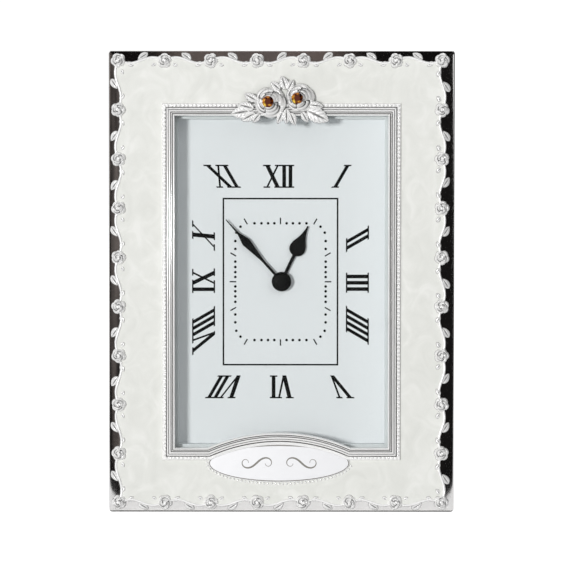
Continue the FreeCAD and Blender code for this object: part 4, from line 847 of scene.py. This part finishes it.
# %% The two roses and their leaves
LARGE_ROSE = (((1.00, 5, 0.26), (0.84, 4, 0.24), (0.66, 3, 0.26), (0.49, 2, 0.24)),
              0.10, 0.036, 0.30)
LARGE_LEVELS, LARGE_GRID, CRYSTAL_SEAT = (15.7, 18.8, 12.6), (80, 160), 2.4
LEFT_CENTRE, LEFT_RADIUS, LEFT_SPIN, LEFT_SHIFT = (-4.9, 180.1), 6.75, 0.4, (-0.9, 0.0)
RIGHT_CENTRE, RIGHT_RADIUS, RIGHT_SPIN, RIGHT_SHIFT = (8.2, 182.0), 6.2, 2.1, (-0.9, 0.2)
SPRAY_GRID, SPRAY_TEETH, SPRAY_VEINS = (41, 23), 0.15, 0.55
SPRAY_RISE, SPRAY_LEVEL, SPRAY_STEP, SPRAY_FOOT = 1.35, 15.45, 0.12, 2.4
SPRAYS = ((-18.0, 175.6, 189, 8.0, 4.6), (-14.4, 173.7, 208, 6.6, 3.6),
          (-13.4, 182.2, 150, 6.2, 3.2), (-15.6, 178.2, 166, 7.0, 3.6),
          (-11.0, 173.2, 232, 4.6, 2.6), (1.0, 188.6, 108, 6.0, 3.6),
          (3.9, 187.6, 62, 5.0, 3.0), (-2.6, 187.2, 140, 5.0, 2.8),
          (2.2, 174.0, 270, 6.4, 3.2), (-0.6, 173.4, 246, 5.6, 2.8),
          (4.9, 172.8, 292, 5.8, 3.0), (15.8, 174.2, 334, 10.4, 5.8),
          (15.0, 178.6, 352, 6.4, 3.2), (10.2, 173.6, 300, 5.0, 2.8))


def heart_of(packed):
    """The middle of a packed crystal, read back from metres in the scene to the face."""
    middle = np.mean(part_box(packed), axis=0)
    return ((middle - FOOT) @ np.array([RIGHT, UP, OUT]).T / MM)[:2]


left_heart = heart_of("crystal_left") + LEFT_SHIFT
right_heart = heart_of("crystal_right") + RIGHT_SHIFT
ornament = [rose(centre, radius, LARGE_LEVELS, spin, LARGE_ROSE, LARGE_GRID, heart, CRYSTAL_SEAT)
            for centre, radius, spin, heart in (
                (LEFT_CENTRE, LEFT_RADIUS, LEFT_SPIN, left_heart),
                (RIGHT_CENTRE, RIGHT_RADIUS, RIGHT_SPIN, right_heart))]
for number, (across, up, turn, length, width) in enumerate(SPRAYS):
    aim = math.radians(turn)
    stem = (across - math.cos(aim) * length / 2, up - math.sin(aim) * length / 2)
    level = over_moulding(up, SPRAY_LEVEL) + SPRAY_STEP * (number % 3)
    ornament.append(leaf(stem, turn, length, width, SPRAY_RISE, level, SPRAY_FOOT, SPRAY_GRID,
                         SPRAY_TEETH, SPRAY_VEINS))
make_piece("rose_cluster_cast", ornament, [cast_silver], "clock",
           ["rose_cluster"], sharp=60)
print("crystals at", left_heart.round(2), right_heart.round(2))

# %% Cut the crystals
# The table facet gets a dark painted reflection.
CRYSTAL_RADIUS, CRYSTAL_HEIGHT, TABLE_PAINTED_REFLECTION = 2.5, 1.85, 0.17
CRYSTAL_RINGS = ((8, 0.56, 1.0, 0.0), (8, 0.83, 0.70, 0.5), (16, 1.0, 0.42, 0.25),
                 (8, 0.7, 0.02, 0.0))


def crystal(name, heart, packed):
    """The hull of four rings of points: a table, a ring between, the girdle and a foot. A
    facet's painted reflection rises and falls with the way it faces, and the table's stays dark."""
    rings = []
    for count, reach, rise, turn in CRYSTAL_RINGS:
        angle = 2 * np.pi * (np.arange(count) + turn) / count
        rings.append(lifted(heart + CRYSTAL_RADIUS * reach * circle(angle),
                            CRYSTAL_LEVEL + CRYSTAL_HEIGHT * rise))
    mesh = bpy.data.meshes.new(name)
    mesh.from_pydata(on_face(np.concatenate(rings)).tolist(), [], [])
    work = bmesh.new()
    work.from_mesh(mesh)
    bmesh.ops.convex_hull(work, input=work.verts)
    bmesh.ops.recalc_face_normals(work, faces=work.faces)
    work.to_mesh(mesh)
    work.free()
    normals = np.empty(len(mesh.polygons) * 3)
    mesh.polygons.foreach_get("normal", normals)
    facing = normals.reshape(-1, 3) @ np.array([RIGHT, UP, OUT]).T
    # Each facet's painted reflection: lighter where it faces left, with a ripple, and dark on the table.
    turn_of = np.arctan2(facing[:, 1], facing[:, 0])
    glitter = np.sin(5 * turn_of + 9 * facing[:, 2] + heart[0])
    shine = np.clip(0.46 - 0.34 * np.cos(turn_of - 0.5) + 0.34 * glitter, 0, 1)
    shine = np.where(facing[:, 2] > 0.98, TABLE_PAINTED_REFLECTION, shine)
    painted_reflection = mesh.attributes.new("painted_reflection", "FLOAT", "FACE")
    painted_reflection.data.foreach_set("value", shine.astype(np.float32))
    give_piece(name, mesh, [amber], "clock", [packed])


crystal("cut_crystal_left", left_heart, "crystal_left")
crystal("cut_crystal_right", right_heart, "crystal_right")

# %% [markdown]
# ## The plaque
# The oval plate is satin silver with a fine line sunk just inside its edge. Its middle
# carries a plain pair of scrolls: a line whose bend grows evenly along it curls up at both
# ends, which is the oldest of engravers' flourishes.

# %% The oval plate
PLATE_POINTS, LINE_FIRST, LINE_LAST = 128, 3, 5
PLATE_PROFILE = ((0.0, 12.70), (0.5, 12.70), (0.90, 12.70), (0.978, 12.70), (0.980, 12.58),
                 (0.989, 12.58), (0.991, 12.70), (0.997, 12.70), (1.0, 12.60), (1.0, 11.3),
                 (0.0, 11.3))
oval_turn = np.linspace(0, 2 * np.pi, PLATE_POINTS, endpoint=False)
plate = []
for share, level in PLATE_PROFILE:
    inset = PLAQUE_HALVES[0] * (1 - share)
    half_height = PLAQUE_HALVES[1] - inset if share > 0.9 else PLAQUE_HALVES[1] * share
    plate.append(lifted(oval(oval_turn, PLAQUE_HALVES[0] * share, half_height), level))
plate_points, plate_faces = sheet_of(np.array(plate), wrap_columns=True)
plate_row = np.repeat(np.arange(len(PLATE_PROFILE) - 1), PLATE_POINTS)
sunk = (plate_row >= LINE_FIRST) & (plate_row <= LINE_LAST)
print("plate faces:", len(plate_faces), "in the sunk line:", sunk.sum())

# %% The pair of scrolls
SCROLL_ASIDE, SCROLL_SIZE, SCROLL_WIDTH = 10.0, 13.0, 0.42
SCROLL_BEND, SCROLL_AIM, SCROLL_END = 5.6, 0.75, 0.25
SCROLL_LOW, SCROLL_HIGH = 12.69, 12.73


def scroll(sign, steps=90):
    """A ribbon whose bend is in proportion to the distance from its middle, so that it
    curls both ways, and which thins towards both ends."""
    t = np.linspace(-1, 1, steps)
    turn = SCROLL_BEND * t ** 2 - SCROLL_AIM
    across = np.cumsum(np.cos(turn)) * SCROLL_SIZE * 2 / steps
    up = np.cumsum(np.sin(turn)) * SCROLL_SIZE * 2 / steps
    line = np.stack([across - across[steps // 2], up - up[steps // 2]], -1) * (sign, 1)
    half = SCROLL_WIDTH * (SCROLL_END + (1 - SCROLL_END) * np.cos(np.pi * t / 2) ** 2)
    aside = square_to(np.gradient(line, axis=0)) * half[:, None]
    centre = (PLAQUE_CENTRE[0] + sign * SCROLL_ASIDE, PLAQUE_CENTRE[1])
    left, right = line + aside + centre, line - aside + centre
    loop = [lifted(left, SCROLL_LOW), lifted(left, SCROLL_HIGH),
            lifted(right, SCROLL_HIGH), lifted(right, SCROLL_LOW)]
    return (*sheet_of(np.stack(loop, 1), wrap_columns=True), 1)


make_piece("engraved_plaque", [(plate_points, plate_faces[~sunk]),
                               (plate_points, plate_faces[sunk], 1), scroll(1), scroll(-1)],
           [plaque_silver, engraving], "clock", ["oval_plaque"])

# %% [markdown]
# ## Printing the dial
# The numerals stand in a rectangle of their own, tops outwards, and lean along the lines
# that run from the middle. One rule draws all twelve: a point of a letter is moved along
# its side by its distance from the middle times the tangent of the hour's angle.

# %% Letters from plain strokes
LETTER_HEIGHT = 10.15
THICK, THIN, SERIF = 1.62, 0.85, 0.62


def stroke(low_at, high_at, width, low=0.0, high=LETTER_HEIGHT):
    """A stroke from a foot to a head with level ends."""
    half = width / 2
    return [(low_at - half, low), (low_at + half, low), (high_at + half, high),
            (high_at - half, high)]


def serif(at, level, width):
    """A thin bar across a stroke's end."""
    return stroke(at, at, width, level, level + SERIF)


def letter(kind, at):
    """The strokes of I, V or X about a middle."""
    top = LETTER_HEIGHT - SERIF
    if kind == "I":
        return [stroke(at, at, THICK), serif(at, 0, 3.3), serif(at, top, 3.3)]
    if kind == "V":
        return [stroke(at + 0.15, at - 2.3, 1.8), stroke(at + 0.35, at + 2.5, THIN),
                serif(at - 2.35, top, 3.4), serif(at + 2.5, top, 2.7)]
    return [stroke(at + 2.45, at - 2.45, 1.85), stroke(at - 2.5, at + 2.5, THIN),
            serif(at - 2.5, top, 3.4), serif(at + 2.5, top, 2.9), serif(at - 2.5, 0, 2.9),
            serif(at + 2.5, 0, 3.4)]


NUMERALS = ("XII", "I", "II", "III", "IIII", "V", "VI", "VII", "VIII", "IX", "X", "XI")
PRINTED_ASIDE = (-0.75, 0.0, 0.65, 0.45, -0.35, 1.0, -0.6, -3.0, -2.0, 0.35, 0.75, 1.2)
LETTER_HALF = {"I": 1.65, "V": 4.05, "X": 4.0}
ADVANCE = {"II": 2.78, "XI": 5.15, "VI": 4.85, "IX": 5.05}
INNER_ACROSS, INNER_UP = 28.9, 41.45
SIDES = (((0, 1), (1, 0)), ((1, 0), (0, -1)), ((0, -1), (-1, 0)), ((-1, 0), (0, 1)))


def numeral(hour, word):
    """One hour's strokes on the dial. Reading runs clockwise round the rectangle. A few
    hours are printed a little aside of their place."""
    places = np.cumsum([0.0] + [ADVANCE[word[i:i + 2]] for i in range(len(word) - 1)])
    first, last = LETTER_HALF[word[0]], LETTER_HALF[word[-1]]
    places = places + first - (first + places[-1] + last) / 2
    strokes = np.array([s for kind, at in zip(word, places) for s in letter(kind, at)])
    side = ((hour + 1) % 12) // 3
    angle = math.radians((hour - side * 3 + 6) % 12 - 6) * 30
    reach = (INNER_UP, INNER_ACROSS)[side % 2] + strokes[..., 1]
    along_side = strokes[..., 0] + reach * math.tan(angle) + PRINTED_ASIDE[hour]
    out, on = SIDES[side]
    return reach[..., None] * np.array(out) + along_side[..., None] * np.array(on)


numerals = np.concatenate([numeral(hour, word) for hour, word in enumerate(NUMERALS)])
print("numeral strokes:", len(numerals))

# %% The minute track
TRACK_ACROSS, TRACK_UP, TRACK_CORNER = 19.95, 25.8, 6.4
DOT_RADIUS, TICK_HALF, TICK_IN, TICK_OUT = 0.6, 0.28, 0.4, 2.5


def on_track(angle):
    """Where a line from the middle at an angle meets the round-cornered track: first the
    rectangle, and near a corner the corner's circle."""
    way = np.stack([np.sin(angle), np.cos(angle)], -1)
    reach = np.minimum(TRACK_ACROSS / np.maximum(np.abs(way[:, 0]), 1e-9),
                       TRACK_UP / np.maximum(np.abs(way[:, 1]), 1e-9))
    straight = np.array([TRACK_ACROSS - TRACK_CORNER, TRACK_UP - TRACK_CORNER])
    corner = np.sign(way) * straight
    ahead = (way * corner).sum(1)
    off = (corner ** 2).sum(1) - ahead ** 2
    round_reach = ahead + np.sqrt(np.maximum(TRACK_CORNER ** 2 - off, 0))
    in_corner = (np.abs(way * reach[:, None]) > straight).all(1)
    return way * np.where(in_corner, round_reach, reach)[:, None]


minutes = np.arange(60)
minute_angle = np.radians(minutes * 6.0)
dot_turn = 2 * np.pi * np.arange(12) / 12
dots = on_track(minute_angle[minutes % 5 != 0])[:, None] + DOT_RADIUS * circle(dot_turn)[None]
tick_start = on_track(minute_angle[::5])
tick_way = tick_start / np.linalg.norm(tick_start, axis=1)[:, None]
tick_aside = square_to(tick_start) * TICK_HALF
near, far = tick_start - TICK_IN * tick_way, tick_start + TICK_OUT * tick_way
ticks = np.stack([near - tick_aside, near + tick_aside, far + tick_aside, far - tick_aside], 1)
print("minute dots:", len(dots), "ticks:", len(ticks))

# %% The frame line, and the ink on the dial
LINE_ACROSS, LINE_UP, LINE_HALF = 25.2, 36.7, 0.35
DIAL_LEVEL, INK_SUNK, INK_RAISED = 3.4, 0.01, 0.03
PRINT_MIDDLE = np.array([-0.45, MIDDLE - 0.15])


def bar(across, up, half_width, half_height):
    """A rectangle about a middle."""
    return [(across - half_width, up - half_height), (across + half_width, up - half_height),
            (across + half_width, up + half_height), (across - half_width, up + half_height)]


bars = []
for side in (-1, 1):
    bars += [bar(0.0, side * LINE_UP, LINE_ACROSS + LINE_HALF, LINE_HALF),
             bar(side * LINE_ACROSS, 0.0, LINE_HALF, LINE_UP)]
printed = []
for shapes in (numerals, ticks, np.array(bars), dots):
    printed += raised(shapes + PRINT_MIDDLE, DIAL_LEVEL - INK_SUNK, DIAL_LEVEL + INK_RAISED)
make_piece("dial_print", printed, [dial_ink], "clock")

# %% [markdown]
# ## The hands
# Each hand is a strip that widens and narrows along its length, with a small chamfer, and
# a round hub on the arbor. Both are placed at the time the clock shows, seven minutes to
# one, and each rides on its own body.

# %% A strip of changing width
HAND_THICKNESS = 0.35


def blade(stations, halves, turn, low):
    """At each distance from the middle, a six-cornered section as wide as twice the half
    width, turned to the hand's angle."""
    chamfer = np.minimum(0.15, halves * 0.5)
    aside = np.stack([-halves, -halves, chamfer - halves, halves - chamfer, halves, halves], 1)
    level = low + HAND_THICKNESS * np.array([0.0, 0.6, 1.0, 1.0, 0.6, 0.0])
    aim = math.radians(turn)
    across = aside * math.cos(aim) - stations[:, None] * math.sin(aim)
    up = MIDDLE + aside * math.sin(aim) + stations[:, None] * math.cos(aim)
    points = np.stack([across, up, np.broadcast_to(level, across.shape)], -1)
    points, faces = sheet_of(points, wrap_columns=True)
    last = (len(stations) - 1) * 6
    return [(points, faces), (points, np.array([range(5, -1, -1), range(last, last + 6)]))]


def hub(radius, bore, low):
    """A flat ring with a chamfered rim."""
    top = low + HAND_THICKNESS
    return turned([(bore, low), (bore, top), (radius - 0.15, top),
                   (radius, low + HAND_THICKNESS * 0.6), (radius, low), (bore, low)],
                  (0.0, MIDDLE), 56)


# %% The minute hand, the hour hand and the cap
MINUTE_TURN, MINUTE_LEVEL, MINUTE_HUB = 41.94, 5.375, (3.3, 1.7)
HOUR_TURN, HOUR_LEVEL, HOUR_HUB = -25.6, 4.475, (4.0, 2.4)
stations = np.array([0.0, 12.0, 13.4, 22.2, 22.8, 23.4, 24.0, 28.2, 29.2, 36.5, 36.8])
halves = np.array([0.56, 0.56, 0.66, 1.80, 1.93, 1.93, 1.78, 0.55, 0.42, 0.20, 0.08])
make_piece("minute_hand_blade",
           blade(stations, halves, MINUTE_TURN, MINUTE_LEVEL) + [hub(*MINUTE_HUB, MINUTE_LEVEL)],
           [black_enamel], "minute_hand", ["minute_hand"])
BULB_RADIUS, BULB_AT, HOUR_SHANK, HOUR_TIP = 3.54, 16.2, 0.72, 27.05
POINT_FROM, POINT_LENGTH, POINT_HALF, POINT_END, POINT_BEND = 18.0, 9.0, 3.0, 0.34, 1.9
stations = np.concatenate([[0.0, 6.0, 11.8], np.linspace(12.5, 27.0, 60)])
bulb = np.sqrt(np.maximum(BULB_RADIUS ** 2 - (stations - BULB_AT) ** 2, 0))
taper = np.clip((HOUR_TIP - stations) / POINT_LENGTH, 0, 1)
point = POINT_END + POINT_HALF * taper ** POINT_BEND
halves = np.where(stations > POINT_FROM, np.minimum(np.maximum(bulb, point), BULB_RADIUS),
                  np.maximum(HOUR_SHANK, bulb))
make_piece("hour_hand_blade",
           blade(stations, halves, HOUR_TURN, HOUR_LEVEL) + [hub(*HOUR_HUB, HOUR_LEVEL)],
           [black_enamel], "hour_hand", ["hour_hand"])
CAP_PROFILE = [(0.0, 7.56), (2.0, 7.55), (2.35, 7.50), (2.5, 7.38), (2.8, 7.34), (3.05, 7.40),
               (3.3, 7.36), (3.7, 7.15), (4.05, 6.80), (4.25, 6.35), (4.32, 5.9), (4.32, 5.74),
               (0.0, 5.74)]
make_piece("hand_cap_dome", [turned(CAP_PROFILE, (0.0, MIDDLE), 72)], [black_enamel],
           "minute_hand", ["hand_cap"], sharp=50)

# %% [markdown]
# ## The studio
# The photograph was taken straight on against white. One soft lamp stands to the left, so
# the lip's shadow falls on the dial. A weak one fills from the right, and a third lights
# the back. Dark cards at the sides, above and on the floor are seen only by reflections:
# they are what makes a mirror bevel look black. The dark card on the floor just in front of
# the frame is painted shadow: it stands for the frame's shadow on the floor, as the bottom
# edge's reflection sees it.

# %% The white world, seen by the camera and by reflections
WHITE, SOFT_WHITE, SOFT_STRENGTH = (1.0, 1.0, 1.0, 1.0), (0.97, 0.98, 1.0, 1.0), 0.225
world = bpy.data.worlds.new("studio")
bpy.context.scene.world = world
world.use_nodes = True
tree = world.node_tree
tree.nodes.clear()
path = node(tree, "LightPath", {})
seen = node(tree, "Math", {0: path.outputs["Is Camera Ray"], 1: path.outputs["Is Glossy Ray"]},
            operation="MAXIMUM")
seen = node(tree, "Math", {0: seen.outputs[0], 1: path.outputs["Is Transmission Ray"]},
            operation="MAXIMUM")
soft = node(tree, "Background", {"Color": SOFT_WHITE, "Strength": SOFT_STRENGTH})
white = node(tree, "Background", {"Color": WHITE, "Strength": 1.0})
blend = node(tree, "MixShader", {0: seen.outputs[0], 1: soft.outputs[0], 2: white.outputs[0]})
node(tree, "OutputWorld", {"Surface": blend.outputs[0]})
print("world nodes:", len(tree.nodes))


# %% The floor and the cards
def card(name, x, y, z, material):
    """A flat studio card: in two directions it runs between two numbers, in metres, and in
    the third it stands at one."""
    if isinstance(x, tuple):
        corners = [(x[0], y[0], z), (x[1], y[0], z), (x[1], y[1], z), (x[0], y[1], z)]
    else:
        corners = [(x, y[0], z[0]), (x, y[1], z[0]), (x, y[1], z[1]), (x, y[0], z[1])]
    mesh = bpy.data.meshes.new(name)
    mesh.from_pydata(corners, [], [(0, 1, 2, 3)])
    made = bpy.data.objects.new(name, mesh)
    bpy.context.scene.collection.objects.link(made)
    mesh.materials.append(material)
    return made


def card_paper(name, color):
    """Paper without any shine."""
    return finish(name, color, 0.0, 1.0, Specular_IOR_Level=0.0)


FLOOR_SEEN, FLOOR_MIRRORED, FLOOR_REACH = 0.78, 0.34, 6
floor_white = finish("floor_white", (0.80, 0.80, 0.80), 0.0, 0.9, Emission_Color=WHITE)
tree = floor_white.node_tree
path = node(tree, "LightPath", {})
to_camera = node(tree, "Math", {0: path.outputs["Is Camera Ray"], 1: FLOOR_SEEN},
                 operation="MULTIPLY")
glow = node(tree, "Math", {0: path.outputs["Is Glossy Ray"], 1: FLOOR_MIRRORED,
                           2: to_camera.outputs[0]}, operation="MULTIPLY_ADD")
drive(tree, glow.outputs[0], "Emission Strength")
floor_span = (-FLOOR_REACH, FLOOR_REACH)
card("studio_floor", floor_span, floor_span, 0, floor_white)

BLACK = (0.012, 0.011, 0.011)
studio_dark = card_paper("studio_dark", BLACK)
studio_grey = card_paper("studio_grey", (0.03, 0.029, 0.028))
studio_brown = card_paper("studio_brown", BLACK)
paint(studio_brown, noise(studio_brown, 9, 2), [(0.40, (0.030, 0.027, 0.026)),
                                                (0.58, (0.30, 0.26, 0.24))])
studio_top = card_paper("studio_top", BLACK)
TOP_LENGTH = 1200
band_along_x(studio_top, TOP_LENGTH, [
    (0.0, BLACK), (0.40, (0.014, 0.012, 0.012)), (0.425, (0.27, 0.22, 0.20)),
    (0.48, (0.24, 0.20, 0.19)), (0.53, (0.30, 0.24, 0.22)), (0.56, BLACK)])
SIDE, TOP, LOW, SHADE = 0.55, 0.85, -0.02, 0.002
front = float(on_face([0.0, 0.0, BEVEL_LOW])[1]) - 0.0011
CARDS = (
    ("dark_card_left", -SIDE, (-1.1, -0.14), (LOW, 1.1), studio_brown),
    ("dark_card_right", SIDE, (-1.1, -0.212), (LOW, 1.1), studio_dark),
    ("grey_card_right", SIDE, (-0.185, 1.0), (LOW, 0.8), studio_grey),
    ("dark_card_top", (-0.6, 0.6), (-0.75, -0.02), TOP, studio_top),
    # Painted shadow: a dark card on the floor in front of the frame, seen only in the bottom edge's reflection.
    ("dark_floor_front", (-0.0765, 0.0765), (front, FOOT[1]), SHADE / 2, studio_dark),
    ("dark_floor_left", (-0.6, -0.12), (-1.1, -0.1), SHADE, studio_dark),
    ("dark_floor_right", (0.12, 0.6), (-1.1, -0.1), SHADE, studio_dark))
for row in CARDS:
    dark = card(*row)
    for ray in ("camera", "diffuse", "transmission", "shadow", "volume_scatter"):
        setattr(dark, "visible_" + ray, False)
print("cards:", len(CARDS))

# %% The lamps
KEY_ANGLE, KEY_DISTANCE, KEY_SIZE, KEY_POWER = math.radians(26.5), 4.0, 0.56, 94.4
FILL_DISTANCE, FILL_SIZE, FILL_POWER = 1.2, 0.7, 1.7
BACK_SIZE, BACK_POWER = 0.8, 3.0


def lamp(name, place, aim, width, power):
    """A square soft lamp that looks at a point."""
    light = bpy.data.lights.new(name, "AREA")
    light.size = width
    light.energy = power
    made = bpy.data.objects.new(name, light)
    bpy.context.scene.collection.objects.link(made)
    made.location = place
    made.rotation_euler = (Vector(aim) - Vector(place)).to_track_quat("-Z", "Y").to_euler()
    print(name, "at", [round(number, 3) for number in place])


face_middle = Vector(on_face([0.0, MIDDLE, 6.0]))
key_way = Vector(OUT * math.cos(KEY_ANGLE) - RIGHT * math.sin(KEY_ANGLE) + UP * 0.04)
lamp("key_lamp", face_middle + key_way * KEY_DISTANCE, face_middle, KEY_SIZE, KEY_POWER)
fill_way = Vector(OUT * 0.8 + RIGHT * 0.45 + UP * 0.55).normalized()
lamp("fill_lamp", face_middle + fill_way * FILL_DISTANCE, face_middle, FILL_SIZE, FILL_POWER)
lamp("back_lamp", (0.5, 1.0, 0.9), (0.0, 0.05, 0.08), BACK_SIZE, BACK_POWER)

# %% The camera, straight on and a little above
CAMERA_DISTANCE = 1.10
CAMERA_RISE, CAMERA_SIDE = 14.05, 0.1
SENSOR, LENS, CLIP_START = 36.0, 160.5, 0.01
TARGET = (0.02, MIDDLE + 0.26, 12.0)
rise, side = math.radians(CAMERA_RISE), math.radians(CAMERA_SIDE)
way = Vector((math.sin(side) * math.cos(rise), -math.cos(side) * math.cos(rise), math.sin(rise)))
camera_data = bpy.data.cameras.new("camera")
camera = bpy.data.objects.new("camera", camera_data)
bpy.context.scene.collection.objects.link(camera)
camera.location = Vector(on_face(TARGET)) + way * CAMERA_DISTANCE
camera.rotation_euler = (-way).to_track_quat("-Z", "Y").to_euler()
camera_data.sensor_width = SENSOR
camera_data.lens = LENS
camera_data.clip_start = CLIP_START
bpy.context.scene.camera = camera
bpy.context.scene.view_settings.view_transform = "Standard"
print("lens:", round(camera_data.lens, 2))
